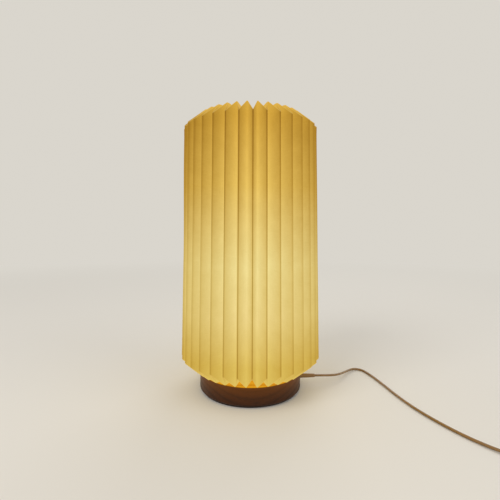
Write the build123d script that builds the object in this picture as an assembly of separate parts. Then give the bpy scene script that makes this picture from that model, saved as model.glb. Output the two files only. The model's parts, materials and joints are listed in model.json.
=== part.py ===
from build123d import *
import math
import os

# Pleated paper table lamp.  Millimetres, +Z up, origin on the table under the centre of the
# wooden base.  -Y is the side that faces the viewer, and the cord leaves on the +X side.

# ---------------------------------------------------------------- driving dimensions
# Wooden base
base_radius = 65.6
base_top = 23.8                 # height of the wood's top face over the table
base_top_rounding = 1.6
base_foot_rounding = 2.6
felt_thickness = 2.0
felt_inset = 2.8                # from the wood's rim to the felt
wood_web = 7.8                  # wood left over the wiring recess
cover_inset = 11.6              # from the wood's rim to the cover
cover_thickness = 3.0
cover_ledge = 10.0              # wood that the cover rests on, round the wiring recess
cover_screw_count = 4
cover_screw_inset = 5.0         # from the cover's rim to the screws
cover_screw_radius = 1.6
cover_screw_head_radius = 3.1
cover_screw_length = 12.0
cover_screw_point = 1.5
cover_rim_gap = 0.3             # between the cover's rim and the wood
slot_width = 0.8                # of every slotted screw
slot_depth = 0.6

# Threaded tube that ties the lampholder to the base
stem_radius = 5.0
stem_bore_radius = 3.6
stem_grip_in_holder = 9.0       # how far the tube reaches into the lampholder cap
stem_tail = 1.6                 # tube left under the nut
nut_across_flats = 14.0
nut_thickness = 3.0
washer_radius = 10.0
washer_thickness = 1.5
stem_chamfer = 0.4
stem_headroom = 0.6             # from the tube's top to the lampholder's floor

# Lampholder
dome_steps = 6                  # straight steps in the cap's quarter round
holder_radius = 19.2            # outside of the skirt
holder_wall = 1.8
holder_neck_radius = 9.0
holder_neck_height = 4.0
holder_cap_height = 20.0
holder_dome_rise = 12.0         # height over which the cap widens from its neck
holder_floor_bevel = 3.0
carrier_seat_overhang = 3.8     # how far the seat stands out past the skirt
carrier_seat_thickness = 2.4
cap_upstand_height = 6.0
insert_height = 6.0
insert_boss_height = 5.0
insert_gap = 0.2                # round the insert and round the cap's upstand
skirt_height = 38.0
skirt_lip_thickness = 2.0
skirt_rim_rounding = 0.7
sleeve_radius = 13.9            # outside of the brass screw sleeve
sleeve_wall = 0.4
sleeve_height = 22.0
sleeve_foot_width = 3.0         # the foot's turned-in flange
sleeve_gap = 0.6                # between the sleeve and the skirt's lip
tongue_width = 6.0
tongue_thickness = 0.5
tongue_rise = 3.0
tongue_reach = 5.0              # past the axis
tongue_bend_foot = 3.4          # from the axis to where the tongue leaves the insert
tongue_bend_top = 1.6
contact_spacing = 1.5           # between tongue and sleeve
terminal_spacing = 18.0
terminal_screw_radius = 1.5
terminal_head_radius = 2.8
terminal_head_height = 1.8
terminal_screw_length = 6.0

# Bulb
tip_radius = 4.6
tip_height = 1.4
tip_bevel = 0.9
insulator_height = 4.4
insulator_foot_radius = 5.4
cap_radius = 12.7               # screw cap under its thread
cap_height = 18.6
cap_wall = 0.4
cap_bevel = 0.7
cap_plate_thickness = 1.0
thread_pitch = 3.63
thread_turns = 4
thread_start = 2.6
thread_ridge = 0.45             # how far the thread stands out
thread_ridge_foot = 2.4         # width of the ridge where it leaves the cap
thread_ridge_crest = 0.8
bulb_radius = 18.5
bulb_housing_height = 19.5
bulb_wall = 1.4
bulb_housing_bevel = 1.4
bulb_housing_grip = 7.0         # how far the housing reaches into the cap
bulb_housing_lift = 0.6         # from the cap's rim to the housing's shoulder
bulb_glow_height = 78.0         # length of the frosted tube with its dome
bulb_dome_rounding = 9.0
led_board_thickness = 1.6
led_count = 12
led_circle = 11.0
led_size = 3.0
led_thickness = 0.8
led_board_ledge = 1.2           # inner lip of the housing that the board rests on
driver_board_width = 17.0
driver_board_thickness = 1.2
driver_board_headroom = 3.0     # over the foot of the screw cap
capacitor_radius = 3.2
capacitor_height = 11.0
transformer_width = 9.0
transformer_depth = 5.9
transformer_height = 8.0
transformer_lift = 13.5         # over the capacitor's foot
bridge_width = 7.0
bridge_depth = 2.5
bridge_height = 6.0
bridge_lift = 5.0
driver_parts_lift = 3.0         # over the board's foot

# Pleated paper shade
pleat_count = 34
ridge_radius = 89.6             # outer folds
pleat_depth = 21.6              # radial step from the outer to the inner folds
paper_thickness = 0.4
shade_foot = 24.3               # height of the inner folds' lower corners over the table
shade_height = 336.9            # along the inner folds, between their corners
top_shoulder = 18.9             # outer folds turn inwards this far short of the inner folds
foot_shoulder = 18.1
turned_in = 20.0                # how far the inner folds run on inwards from their corners
first_ridge_angle = 1.4         # of the outer fold nearest -Y, turned towards +X
ring_wire_radius = 1.0
top_ring_drop = 30.0            # from the inner folds' upper corners down to the top ring
carrier_ring_rise = 6.5         # from the middle of the carrier's collar up to its ring
carrier_collar_width = 5.0
carrier_collar_thickness = 2.2
carrier_arm_radius = 0.95
carrier_arm_count = 4
carrier_arm_root = 1.5          # how far each arm reaches over the collar

# Cord and what is on it
cord_radius = 1.5
cord_exit_height = 12.0
cord_exit_angle = 2.0           # from +X, turned towards +Y
relief_length = 20.4            # outside the wood
relief_root_radius = 2.9
relief_end_radius = 2.2
relief_grip = 12.0              # inside the wood
relief_collar = 0.2             # straight stretch outside the wood
relief_waist = 13.0             # place of its slimmest taper, outside the wood
relief_waist_radius = 2.5
clamp_inset = 9.0               # from the wiring recess's wall to the clamp's middle
clamp_length = 7.0              # along the lead
clamp_breadth = 19.0            # across the lead
clamp_floor = 1.6
clamp_screw_spacing = 12.0
clamp_screw_radius = 1.25
clamp_screw_head_radius = 2.4
clamp_screw_head_height = 1.4
clamp_screw_grip = 4.5          # in the wood
lead_tail = 7.0                 # sheathed lead past the clamp's middle
wire_radius = 0.7
wire_spacing = 1.7
switch_length = 58.0
switch_width = 24.0
switch_height = 14.0
switch_split = 6.44             # height of the joint between the halves and of the cord
switch_split_gap = 0.02
switch_wall = 1.8
switch_corner_radius = 7.0
switch_edge_rounding = 2.0
post_radius = 2.6
post_inset = 7.5                # from the switch's end
post_offset = 6.0               # from the cord's axis
switch_screw_radius = 1.05
switch_screw_head_radius = 2.0
switch_screw_head_height = 1.3
switch_screw_sink = 0.9         # from the underside to the screw's head
switch_screw_length = 7.6
window_gap = 0.4                # round the rocker
rocker_length = 15.0
rocker_width = 9.0
rocker_tilt = 12.0
rocker_axis_depth = 2.7         # under the switch's top
rocker_rise = 2.9               # rocker's ends over its axis
rocker_dip = 1.0                # hollow in the middle of its top
rocker_end_depth = 0.6          # of its ends under the axis
rocker_keel_depth = 2.2
rocker_keel_width = 4.4
rocker_bevel = 0.8
rocker_pin_radius = 1.2
rocker_pin_length = 1.6
bearing_thickness = 1.6
bearing_width = 6.0
bearing_height = 4.4
strip_length = 9.0
strip_width = 4.0
strip_thickness = 0.5
strip_place = 8.0               # from the rocker's axis
strip_gap = 0.6                 # under the rocker's keel
coil_inner_radius = 13.0        # centre line of the innermost turn
coil_step = 4.1                 # from turn to turn
coil_layer_step = 3.6
coil_half_turns = (5, 5, 5, 4)  # spiral in, out, in and out again
tie_thickness = 0.8
tie_width = 7.0
tie_corner_radius = 1.4
tie_angles = (90, 250)
plug_length = 36.0
plug_width = 35.0
plug_front_width = 26.0
plug_rear_width = 16.0
plug_height = 13.7
plug_neck_length = 13.0
plug_neck_radius = 2.6
plug_neck_sink = 2.0            # how far the neck's cone reaches into the plug
plug_neck_inset = 1.6           # from the plug's face to the cone's wide end
plug_shoulder = 16.2            # from the plug's rear to its widest place
plug_corner_radius = 2.5
plug_edge_chamfer = 1.2
pin_radius = 2.0
pin_length = 19.0
pin_sleeve_length = 10.0
pin_sleeve_wall = 0.4
pin_tip_rounding = 1.2
pin_spacing = 18.6
pin_root = 8.0                  # how far each pin reaches into the plug
pin_root_radius = 2.8
pin_root_cover = 1.0            # plug over the pin's thick root
plug_distance = 33.0            # from the winding's end to the plug's neck

# Clearances
running_clearance = 0.05
slip_clearance = 0.6            # shade collar over the skirt
screw_clearance = 0.05
glue_gap = 0.1
tie_gap = 0.2
contact_gap = 0.1
seat_gap = 0.02                 # under the shade's collar
cut_margin = 1.0                # how far a cut runs past the solid

# ---------------------------------------------------------------- places worked out from them
wood_foot = felt_thickness
felt_radius = base_radius - felt_inset
cover_radius = base_radius - cover_inset
cover_screw_circle = cover_radius - cover_screw_inset
wiring_recess_radius = cover_radius - cover_ledge
clamp_place = wiring_recess_radius - clamp_inset
recess_ceiling = base_top - wood_web
cover_top = wood_foot + cover_thickness
washer_foot = recess_ceiling - washer_thickness
nut_foot = washer_foot - nut_thickness
stem_foot = nut_foot - stem_tail
stem_top = base_top + stem_grip_in_holder
seat_foot = base_top + holder_cap_height
seat_top = seat_foot + carrier_seat_thickness
skirt_inner_radius = holder_radius - holder_wall
upstand_top = seat_top + cap_upstand_height
upstand_radius = skirt_inner_radius - insert_gap
insert_top = upstand_top + insert_height
skirt_top = seat_top + skirt_height
tongue_top = insert_top + tongue_rise
tip_foot = tongue_top + contact_gap
insulator_foot = tip_foot + tip_height
cap_foot = insulator_foot + insulator_height
cap_top = cap_foot + cap_height
housing_top = cap_top + bulb_housing_height
board_top = housing_top + led_board_thickness
bulb_top = housing_top + bulb_glow_height

shade_top = shade_foot + shade_height
valley_radius = ridge_radius - pleat_depth
half_pitch = math.pi / pleat_count
clamp_top = recess_ceiling
clamp_foot = cord_exit_height - cord_radius - clamp_floor
cord_low = cord_radius          # centre line of a cord that lies on the table
cord_exit_radius = base_radius + relief_length

coil_outer_radius = coil_inner_radius + coil_step * coil_half_turns[0] / 2
coil_lift = tie_thickness + tie_gap
coil_first_layer = coil_lift + cord_radius

switch_post_place = switch_length / 2 - post_inset
rocker_axis_height = switch_height - rocker_axis_depth
plug_axis_height = plug_height / 2


def polar(radius, degrees, height):
    """A point at an angle measured from +X towards +Y."""
    return Vector(radius * math.cos(math.radians(degrees)), radius * math.sin(math.radians(degrees)),
                  height)


# Route of the free cord, chosen by hand along the table: lamp to switch
cord_exit = polar(cord_exit_radius, cord_exit_angle, cord_exit_height)
switch_centre = Vector(291, -163, 0)
switch_lamp_end = switch_centre + Vector(-switch_length / 2, 0, switch_split)
switch_plug_end = switch_centre + Vector(switch_length / 2, 0, switch_split)
lamp_cord_route = [
    cord_exit,
    cord_exit + polar(11, cord_exit_angle, 0),
    Vector(109, 7.4, 10.6),
    Vector(119.5, 15.5, 8.4),
    Vector(129, 27, 6.2),
    Vector(139, 40.5, 4.0),
    Vector(150.5, 53.4, 2.4),
    Vector(158.8, 54.8, 1.7),
    Vector(165.5, 49.6, cord_low),
    Vector(169.2, 37, cord_low),
    Vector(173, 20, cord_low),
    Vector(177, -3, cord_low),
    Vector(181, -32, cord_low),
    Vector(188, -64, cord_low),
    Vector(199, -95, cord_low),
    Vector(213, -124, cord_low),
    Vector(229, -147, cord_low + 0.4),
    Vector(240, -158.5, cord_low + 2.1),
    switch_lamp_end + Vector(-10, 0, 0),
    switch_lamp_end,
]
# switch to coil
coil_centre = Vector(328, -122, 0)
coil_start = coil_centre + Vector(coil_outer_radius, -2 * cord_radius, coil_first_layer)
coil_cord_route = [
    switch_plug_end,
    switch_plug_end + Vector(9, 0, 0),
    Vector(340.5, -160, 4.2),
    Vector(348, -152, 2.7),
    coil_start + Vector(0, -13, 0),
    coil_start,
]
# coil to plug
coil_end_radius = coil_inner_radius + coil_step * coil_half_turns[-1] / 2
coil_end = coil_centre + Vector(coil_end_radius, 2 * cord_radius,
                                coil_first_layer + 3 * coil_layer_step)
plug_neck_foot = Vector(coil_end.X + 5.0, coil_end.Y + plug_distance, plug_axis_height)
plug_cord_route = [
    coil_end,
    coil_end + Vector(0, 7, 0),
    coil_end + Vector(2.1, 16.5, -3.2),
    plug_neck_foot + Vector(0, -7.5, 0),
    plug_neck_foot,
]

upwards = (Align.CENTER, Align.CENTER, Align.MIN)

os.makedirs("parts", exist_ok=True)


# ---------------------------------------------------------------- helpers
def save(node, *solids):
    """Write one node, given as one solid or a group of separate solids."""
    shape = solids[0] if len(solids) == 1 else Compound(children=list(solids))
    export_step(shape, "parts/" + node + ".step")


def solid_of(shape):
    """The one solid that a modelling step leaves."""
    found = shape.solids()
    assert len(found) == 1, f"expected one solid, found {len(found)}"
    return found[0]


def turned(profile):
    """A solid turned about Z from its (radius, height) outline."""
    face = make_face(Plane.XZ * Polyline(*profile, close=True))
    return solid_of(revolve(face, Axis.Z))


def ring_solid(outer, inner, foot, top):
    """A flat ring or a tube about Z."""
    return turned([(inner, foot), (outer, foot), (outer, top), (inner, top)])


def disc(radius, foot, top):
    """A plain disc about Z."""
    return Pos(0, 0, foot) * extrude(Circle(radius), top - foot)


def rod(radius, start, end):
    """A straight round bar from point to point."""
    run = Vector(end) - Vector(start)
    return extrude(Plane(origin=start, z_dir=run) * Circle(radius), run.length)


def corner_radii(points):
    """The largest arc that each corner's two runs allow."""
    radii = []
    for before, here, after in zip(points, points[1:], points[2:]):
        run_in = here - before
        run_out = after - here
        half_turn = math.radians(run_in.get_angle(run_out)) / 2
        radii.append(0.45 * min(run_in.length, run_out.length) / math.tan(half_turn))
    return radii


def tube(name, points, radius, quiet=False):
    """A cord or wire of straight runs joined by tangent arcs."""
    points = [Vector(point) for point in points]
    radii = corner_radii(points)
    path = FilletPolyline(*points, radius=radii)
    section = Plane(origin=path @ 0, z_dir=path % 0) * Circle(radius)
    swept = solid_of(sweep(section, path=path))
    if not quiet:
        share = swept.volume / (math.pi * radius ** 2 * path.length)
        print(f"{name}: length {path.length:.1f}, radii {[round(r) for r in radii]}, "
              f"volume over section x length {share:.4f}")
    return swept


# ---------------------------------------------------------------- base
def make_wooden_base():
    """Turned disc with a wiring recess, a seat for the cover and the cord's bore."""
    body = disc(base_radius, wood_foot, base_top)
    rims = body.edges().filter_by(GeomType.CIRCLE).sort_by(Axis.Z)
    body = fillet(rims[-1:], base_top_rounding)
    body = fillet(body.edges().filter_by(GeomType.CIRCLE).sort_by(Axis.Z)[:1], base_foot_rounding)
    body -= disc(wiring_recess_radius, wood_foot - cut_margin, recess_ceiling)
    body -= disc(cover_radius + cover_rim_gap, wood_foot - cut_margin, cover_top)
    body -= disc(stem_radius + screw_clearance, wood_foot, base_top + cut_margin)
    start = polar(wiring_recess_radius - cut_margin, cord_exit_angle, cord_exit_height)
    end = polar(base_radius + cut_margin, cord_exit_angle, cord_exit_height)
    body -= rod(relief_root_radius + screw_clearance, start, end)
    for place in cover_screw_places():
        hole = extrude(Circle(cover_screw_radius + screw_clearance), cover_screw_length)
        body -= Pos(place.X, place.Y, wood_foot) * hole
    for side in (-1, 1):
        body -= clamp_screw_hole(side)
    return solid_of(body)


def cover_screw_places():
    """Centres of the cover's screws, clear of the cord's bore."""
    step = 360 / cover_screw_count
    return [polar(cover_screw_circle, step * (k + 0.5), 0) for k in range(cover_screw_count)]


def make_felt_pad():
    """Disc of felt, glued under wood and cover, that the lamp stands on."""
    return disc(felt_radius, 0, felt_thickness)


def screw_head_depth():
    """Depth of the cover screws' countersunk heads."""
    return cover_screw_head_radius - cover_screw_radius


def make_base_cover():
    """Steel disc that closes the wiring recess and weighs the lamp down."""
    plate = disc(cover_radius, wood_foot, cover_top)
    for place in cover_screw_places():
        at = Pos(place.X, place.Y, wood_foot)
        plate -= at * extrude(Circle(cover_screw_radius + screw_clearance), cover_thickness)
        sink = Cone(cover_screw_head_radius + screw_clearance, cover_screw_radius + screw_clearance,
                    screw_head_depth(), align=upwards)
        plate -= at * sink
    return solid_of(plate)


def make_cover_screws():
    """Countersunk wood screws with a plain slot."""
    screws = []
    for place in cover_screw_places():
        head = Cone(cover_screw_head_radius, cover_screw_radius, screw_head_depth(), align=upwards)
        shank_length = cover_screw_length - cover_screw_point
        shank = extrude(Circle(cover_screw_radius), shank_length)
        point = Cone(cover_screw_radius, contact_gap, cover_screw_point - contact_gap, align=upwards)
        point = Pos(0, 0, shank_length) * point
        slot = Box(2 * cover_screw_head_radius, slot_width, slot_depth, align=upwards)
        screw = head + shank + point - slot
        screws.append(solid_of(Pos(place.X, place.Y, wood_foot) * screw))
    return screws


def make_stem():
    """Threaded tube through the wood, bored for the wires."""
    tube_body = ring_solid(stem_radius, stem_bore_radius, stem_foot, stem_top)
    ends = tube_body.edges().filter_by(GeomType.CIRCLE).filter_by(
        lambda edge: abs(edge.radius - stem_radius) < 0.01)
    return solid_of(chamfer(ends, stem_chamfer))


def make_stem_nut():
    """Thin hexagon nut under the wood."""
    body = extrude(RegularPolygon(nut_across_flats / 2, 6, major_radius=False), nut_thickness)
    body -= extrude(Circle(stem_radius + screw_clearance), nut_thickness)
    return solid_of(Pos(0, 0, nut_foot) * body)


def make_stem_washer():
    """Flat washer between nut and wood."""
    return ring_solid(washer_radius, stem_radius + screw_clearance, washer_foot, recess_ceiling)


# ---------------------------------------------------------------- lampholder
def make_holder_cap():
    """Lower part of the lampholder: neck, dome, and the seat that carries the shade."""
    neck_top = base_top + holder_neck_height
    floor = stem_top + stem_headroom
    bore = stem_radius + screw_clearance
    seat_radius = holder_radius + carrier_seat_overhang
    upstand_inner = upstand_radius - holder_wall
    outer = [(holder_neck_radius, base_top)]
    for step in range(dome_steps + 1):
        turn = math.pi / 2 * step / dome_steps
        outer.append((holder_neck_radius + (holder_radius - holder_neck_radius) * math.sin(turn),
                      neck_top + holder_dome_rise * (1 - math.cos(turn))))
    outer += [
        (holder_radius, seat_foot - carrier_seat_overhang / 2),
        (seat_radius, seat_foot),
        (seat_radius, seat_top),
        (upstand_radius, seat_top),
        (upstand_radius, upstand_top),
    ]
    inner = [
        (upstand_inner, upstand_top),
        (upstand_inner, floor + holder_floor_bevel),
        (upstand_inner - holder_floor_bevel, floor),
        (bore, floor),
        (bore, base_top),
    ]
    return turned(outer + inner)


def make_holder_skirt():
    """Outer sleeve of the lampholder, with a lip over the screw sleeve."""
    lip_radius = sleeve_radius + sleeve_gap
    body = turned([
        (skirt_inner_radius, seat_top + contact_gap),
        (holder_radius, seat_top + contact_gap),
        (holder_radius, skirt_top),
        (lip_radius, skirt_top),
        (lip_radius, skirt_top - skirt_lip_thickness),
        (skirt_inner_radius, skirt_top - skirt_lip_thickness),
    ])
    rim = body.edges().filter_by(GeomType.CIRCLE).sort_by(Axis.Z)[-2:]
    return solid_of(fillet(rim, skirt_rim_rounding))


def terminal_places():
    """Centres of the two wire terminals."""
    return [Vector(side * terminal_spacing / 2, 0, 0) for side in (-1, 1)]


def make_holder_insert():
    """Insulating block that carries the contacts and the terminals."""
    body = disc(skirt_inner_radius - insert_gap, upstand_top, insert_top)
    body += disc(upstand_radius - holder_wall - insert_gap, upstand_top - insert_boss_height, upstand_top)
    for place in terminal_places():
        hole = extrude(Circle(terminal_screw_radius + screw_clearance), terminal_screw_length + contact_gap)
        body -= Pos(place.X, place.Y, upstand_top - insert_boss_height) * hole
    return solid_of(body)


def make_screw_sleeve():
    """Brass sleeve that the bulb's cap screws into, with a turned-in foot."""
    foot = insert_top
    return turned([
        (sleeve_radius - sleeve_foot_width, foot),
        (sleeve_radius, foot),
        (sleeve_radius, foot + sleeve_height),
        (sleeve_radius - sleeve_wall, foot + sleeve_height),
        (sleeve_radius - sleeve_wall, foot + sleeve_wall),
        (sleeve_radius - sleeve_foot_width, foot + sleeve_wall),
    ])


def make_centre_contact():
    """Sprung brass tongue under the bulb's tip."""
    root = sleeve_radius - sleeve_foot_width - contact_spacing
    skew = 0.8 * tongue_thickness
    low = tongue_top - tongue_thickness
    points = [(-root, insert_top), (-tongue_bend_foot, insert_top), (-tongue_bend_top, low),
              (tongue_reach, low), (tongue_reach, tongue_top), (-tongue_bend_top - skew, tongue_top),
              (-tongue_bend_foot - skew, insert_top + tongue_thickness),
              (-root, insert_top + tongue_thickness)]
    face = make_face(Plane.XZ * Polyline(*points, close=True))
    return solid_of(extrude(face, tongue_width / 2, both=True))


def make_terminal_screws():
    """Two slotted terminal screws, driven from below."""
    screws = []
    foot = upstand_top - insert_boss_height
    for place in terminal_places():
        head = extrude(Circle(terminal_head_radius), -terminal_head_height)
        shank = extrude(Circle(terminal_screw_radius), terminal_screw_length)
        slot = Box(2 * terminal_head_radius, slot_width, slot_depth, align=upwards)
        slot = Pos(0, 0, -terminal_head_height) * slot
        screws.append(solid_of(Pos(place.X, place.Y, foot) * (head + shank - slot)))
    return screws


# ---------------------------------------------------------------- bulb
def make_bulb_tip():
    """Centre contact of the bulb."""
    return turned([(0, tip_foot), (tip_radius - tip_bevel, tip_foot), (tip_radius, tip_foot + tip_bevel),
                   (tip_radius, insulator_foot), (0, insulator_foot)])


def make_bulb_insulator():
    """Dark glass cone between tip and screw cap."""
    return turned([(0, insulator_foot), (insulator_foot_radius, insulator_foot),
                   (cap_radius - cap_bevel, cap_foot), (0, cap_foot)])


def make_bulb_cap():
    """Thin screw cap whose thread is a stack of rounded ridges one pitch apart."""
    inner = cap_radius - cap_wall
    plate_top = cap_foot + cap_plate_thickness
    body = turned([(0, cap_foot), (cap_radius - cap_bevel, cap_foot), (cap_radius, cap_foot + cap_bevel),
                   (cap_radius, cap_top), (inner, cap_top), (inner, plate_top), (0, plate_top)])
    root = cap_radius - cap_wall / 2
    crest = cap_radius + thread_ridge
    for turn in range(thread_turns):
        middle = cap_foot + thread_start + thread_pitch * (turn + 0.5)
        body += turned([(root, middle - thread_ridge_foot / 2), (crest, middle - thread_ridge_crest / 2),
                        (crest, middle + thread_ridge_crest / 2), (root, middle + thread_ridge_foot / 2)])
    return solid_of(body)


def make_bulb_housing():
    """Plastic body of the bulb, widening from the cap to the frosted tube."""
    neck = cap_radius - cap_wall - screw_clearance
    neck_inner = neck - bulb_wall
    neck_foot = cap_top - bulb_housing_grip
    wide = bulb_radius - bulb_wall
    shoulder = cap_top + bulb_housing_lift
    bevel_top = shoulder + bulb_housing_bevel
    ledge_foot = housing_top - bulb_wall
    return turned([
        (neck_inner, neck_foot), (neck, neck_foot), (neck, shoulder),
        (bulb_radius - bulb_housing_bevel, shoulder), (bulb_radius, bevel_top),
        (bulb_radius, housing_top), (wide - led_board_ledge, housing_top),
        (wide - led_board_ledge, ledge_foot), (wide, ledge_foot),
        (wide, bevel_top + bulb_wall), (neck_inner, shoulder + bulb_wall)])


def make_bulb_diffuser():
    """Frosted tube with a domed end."""
    outside = disc(bulb_radius, housing_top, bulb_top)
    outside = fillet(outside.edges().filter_by(GeomType.CIRCLE).sort_by(Axis.Z)[-1:],
                     bulb_dome_rounding)
    hollow = disc(bulb_radius - bulb_wall, housing_top, bulb_top - bulb_wall)
    hollow = fillet(hollow.edges().filter_by(GeomType.CIRCLE).sort_by(Axis.Z)[-1:],
                    bulb_dome_rounding - bulb_wall)
    return solid_of(outside - hollow)


def make_led_board():
    """Aluminium disc that carries the light sources."""
    return disc(bulb_radius - bulb_wall - contact_gap, housing_top, board_top)


def make_led_chips():
    """Ring of small square light sources."""
    chip = Box(led_size, led_size, led_thickness, align=upwards)
    step = 360 / led_count
    return [solid_of(Pos(*polar(led_circle, step * k, board_top)) * Rot(0, 0, step * k) * chip)
            for k in range(led_count)]


def make_driver_board():
    """Upright circuit board in the bulb's neck."""
    foot = cap_foot + driver_board_headroom
    board = Box(driver_board_width, driver_board_thickness, housing_top - foot, align=upwards)
    return solid_of(Pos(0, 0, foot) * board)


def make_driver_parts():
    """Capacitor, transformer and bridge on the driver board."""
    foot = cap_foot + driver_board_headroom + driver_parts_lift
    face = driver_board_thickness / 2
    beside = -face - capacitor_radius - running_clearance
    capacitor = rod(capacitor_radius, (0, beside, foot), (0, beside, foot + capacitor_height))
    transformer = Box(transformer_width, transformer_depth, transformer_height, align=upwards)
    transformer = Pos(0, -face - transformer_depth / 2, foot + transformer_lift) * transformer
    bridge = Box(bridge_width, bridge_depth, bridge_height, align=upwards)
    bridge = Pos(0, face + bridge_depth / 2, foot + bridge_lift) * bridge
    return [solid_of(capacitor), solid_of(transformer), solid_of(bridge)]


# ---------------------------------------------------------------- shade
def fold_half_angles():
    """Half the angle between two faces at an outer fold and at an inner fold."""
    across_valley = valley_radius * math.sin(half_pitch)
    across_ridge = ridge_radius * math.sin(half_pitch)
    at_ridge = math.atan2(across_valley, ridge_radius - valley_radius * math.cos(half_pitch))
    at_valley = math.atan2(across_ridge, ridge_radius * math.cos(half_pitch) - valley_radius)
    return at_ridge, at_valley


def face_width():
    """Width of one flat face of the paper, from outer fold to inner fold."""
    return math.hypot(valley_radius * math.sin(half_pitch),
                      ridge_radius - valley_radius * math.cos(half_pitch))


def inner_fold_reach():
    """Radius that the paper leaves free inside its inner folds."""
    return valley_radius - paper_thickness / math.sin(fold_half_angles()[1])


def turned_ridge_end(shoulder):
    """Radius and height of an outer fold's inner end; the inner folds' level is zero.

    The crease and the face next to it keep the lengths they have on the flat sheet.
    """
    valley_end = valley_radius - turned_in
    crease = turned_in + shoulder
    reach_squared = face_width() ** 2 - (valley_end * math.sin(half_pitch)) ** 2
    centre = Vector(valley_end * math.cos(half_pitch), 0)
    run = Vector(ridge_radius, -shoulder) - centre
    along = (reach_squared - crease ** 2 + run.length ** 2) / (2 * run.length)
    aside = math.sqrt(reach_squared - along ** 2)
    unit = run.normalized()
    place = centre + unit * along + Vector(unit.Y, -unit.X) * aside
    return place.X, place.Y


def upward_normal(first, second, third):
    """Unit normal of the flat facet through three points, turned upwards."""
    normal = (second - first).cross(third - first).normalized()
    return normal if normal.Z > 0 else -normal


def sunk(corner, inset, *normals):
    """Radius and height of a corner on the sheet's other side, across the given facets."""
    inwards = Vector(corner.X, corner.Y).normalized() * -inset
    depths = [(paper_thickness + normal.dot(inwards)) / normal.Z for normal in normals]
    return math.hypot(corner.X, corner.Y) - inset, corner.Z - sum(depths) / len(depths)


def paper_end(shoulder):
    """Corners of an upper end as (radius, height) on an outer and on an inner fold.

    Each fold has four: the body's corner and the turned-in end on the sheet's outer side,
    then the same two on its inner side. The inner folds' level is zero.
    """
    step = math.degrees(half_pitch)
    on_ridge = [(ridge_radius, -shoulder), turned_ridge_end(shoulder)]
    on_valley = [(valley_radius, 0), (valley_radius - turned_in, 0)]
    ridge, ridge_end = (polar(radius, 0, height) for radius, height in on_ridge)
    valley, valley_end = (polar(radius, step, height) for radius, height in on_valley)
    near_body = upward_normal(ridge, valley, ridge_end)
    near_end = upward_normal(valley, valley_end, ridge_end)
    ridge_inset, valley_inset = (paper_thickness / math.sin(half) for half in fold_half_angles())
    on_ridge += [sunk(ridge, ridge_inset, near_body), sunk(ridge_end, 0, near_body, near_end)]
    on_valley += [sunk(valley, valley_inset, near_body, near_end), sunk(valley_end, 0, near_end)]
    return on_ridge, on_valley


def fold_corners(k):
    """Corners of fold k, four at the foot and four at the top; even folds are outer ones."""
    angle = first_ridge_angle - 90 + k * math.degrees(half_pitch)
    foot = paper_end(foot_shoulder)[k % 2]
    top = paper_end(top_shoulder)[k % 2]
    return ([polar(radius, angle, shade_foot - height) for radius, height in foot],
            [polar(radius, angle, shade_top + height) for radius, height in top])


def make_pleated_shade():
    """One folded sheet: an upright body between sharp folds, turned inwards at both ends."""
    folds = [fold_corners(k) for k in range(2 * pleat_count)]
    loops = []
    for k, (foot, top) in enumerate(folds):
        next_foot, next_top = folds[(k + 1) % len(folds)]
        for layer in (0, 2):
            loops.append((foot[layer], next_foot[layer], next_top[layer], top[layer]))
            for here, there in ((foot, next_foot), (top, next_top)):
                facet = [here[layer], there[layer], there[layer + 1], here[layer + 1]]
                if k % 2 == 0:
                    facet = facet[1:] + facet[:1]
                loops += [facet[:3], (facet[0], facet[2], facet[3])]
        for here, there in ((foot, next_foot), (top, next_top)):
            loops.append((here[1], there[1], there[3], here[3]))
    return Solid(Shell([Face(Wire.make_polygon(loop, close=True)) for loop in loops]))


def make_top_ring():
    """Wire ring glued inside the inner folds near the top."""
    centre = inner_fold_reach() - glue_gap - ring_wire_radius
    return solid_of(Pos(0, 0, shade_top - top_ring_drop) * Torus(centre, ring_wire_radius))


def make_shade_carrier():
    """Flat collar that rests on the lampholder's seat, four rising arms and a wire ring."""
    collar_inner = holder_radius + slip_clearance
    collar_outer = collar_inner + carrier_collar_width
    foot = seat_top + seat_gap
    middle = foot + carrier_collar_thickness / 2
    ring_centre = inner_fold_reach() - glue_gap - ring_wire_radius
    body = ring_solid(collar_outer, collar_inner, foot, foot + carrier_collar_thickness)
    body += Pos(0, 0, middle + carrier_ring_rise) * Torus(ring_centre, ring_wire_radius)
    for k in range(carrier_arm_count):
        angle = 45 + k * 360 / carrier_arm_count
        body += rod(carrier_arm_radius, polar(collar_outer - carrier_arm_root, angle, middle),
                    polar(ring_centre, angle, middle + carrier_ring_rise))
    return solid_of(body)


# ---------------------------------------------------------------- wiring inside the base
def make_inner_lead():
    """Sheathed lead from the strain relief's mouth to the clamp."""
    end = polar(clamp_place - lead_tail, cord_exit_angle, cord_exit_height)
    return solid_of(rod(cord_radius, cord_exit, end))


def make_strain_relief():
    """Tapered sleeve that grips the lead in the wood and guides it outside."""
    bore = cord_radius + screw_clearance
    body = turned([
        (bore, -relief_grip), (relief_root_radius, -relief_grip), (relief_root_radius, relief_collar),
        (relief_waist_radius, relief_waist), (relief_end_radius, relief_length), (bore, relief_length)])
    place = Plane(origin=polar(base_radius, cord_exit_angle, cord_exit_height),
                  z_dir=polar(1, cord_exit_angle, 0))
    return solid_of(place * body)


def clamp_screw_hole(side):
    """Pilot hole in the wood for one screw of the cord clamp."""
    centre = clamp_screw_place(side)
    hole = Circle(clamp_screw_radius + screw_clearance)
    hole = extrude(hole, cut_margin + clamp_screw_grip + contact_gap)
    return Pos(centre.X, centre.Y, clamp_top - cut_margin) * hole


def clamp_screw_place(side):
    """Centre of one clamp screw."""
    angle = math.radians(cord_exit_angle)
    across = side * clamp_screw_spacing / 2
    return Vector(clamp_place * math.cos(angle) - across * math.sin(angle),
                  clamp_place * math.sin(angle) + across * math.cos(angle), 0)


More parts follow.
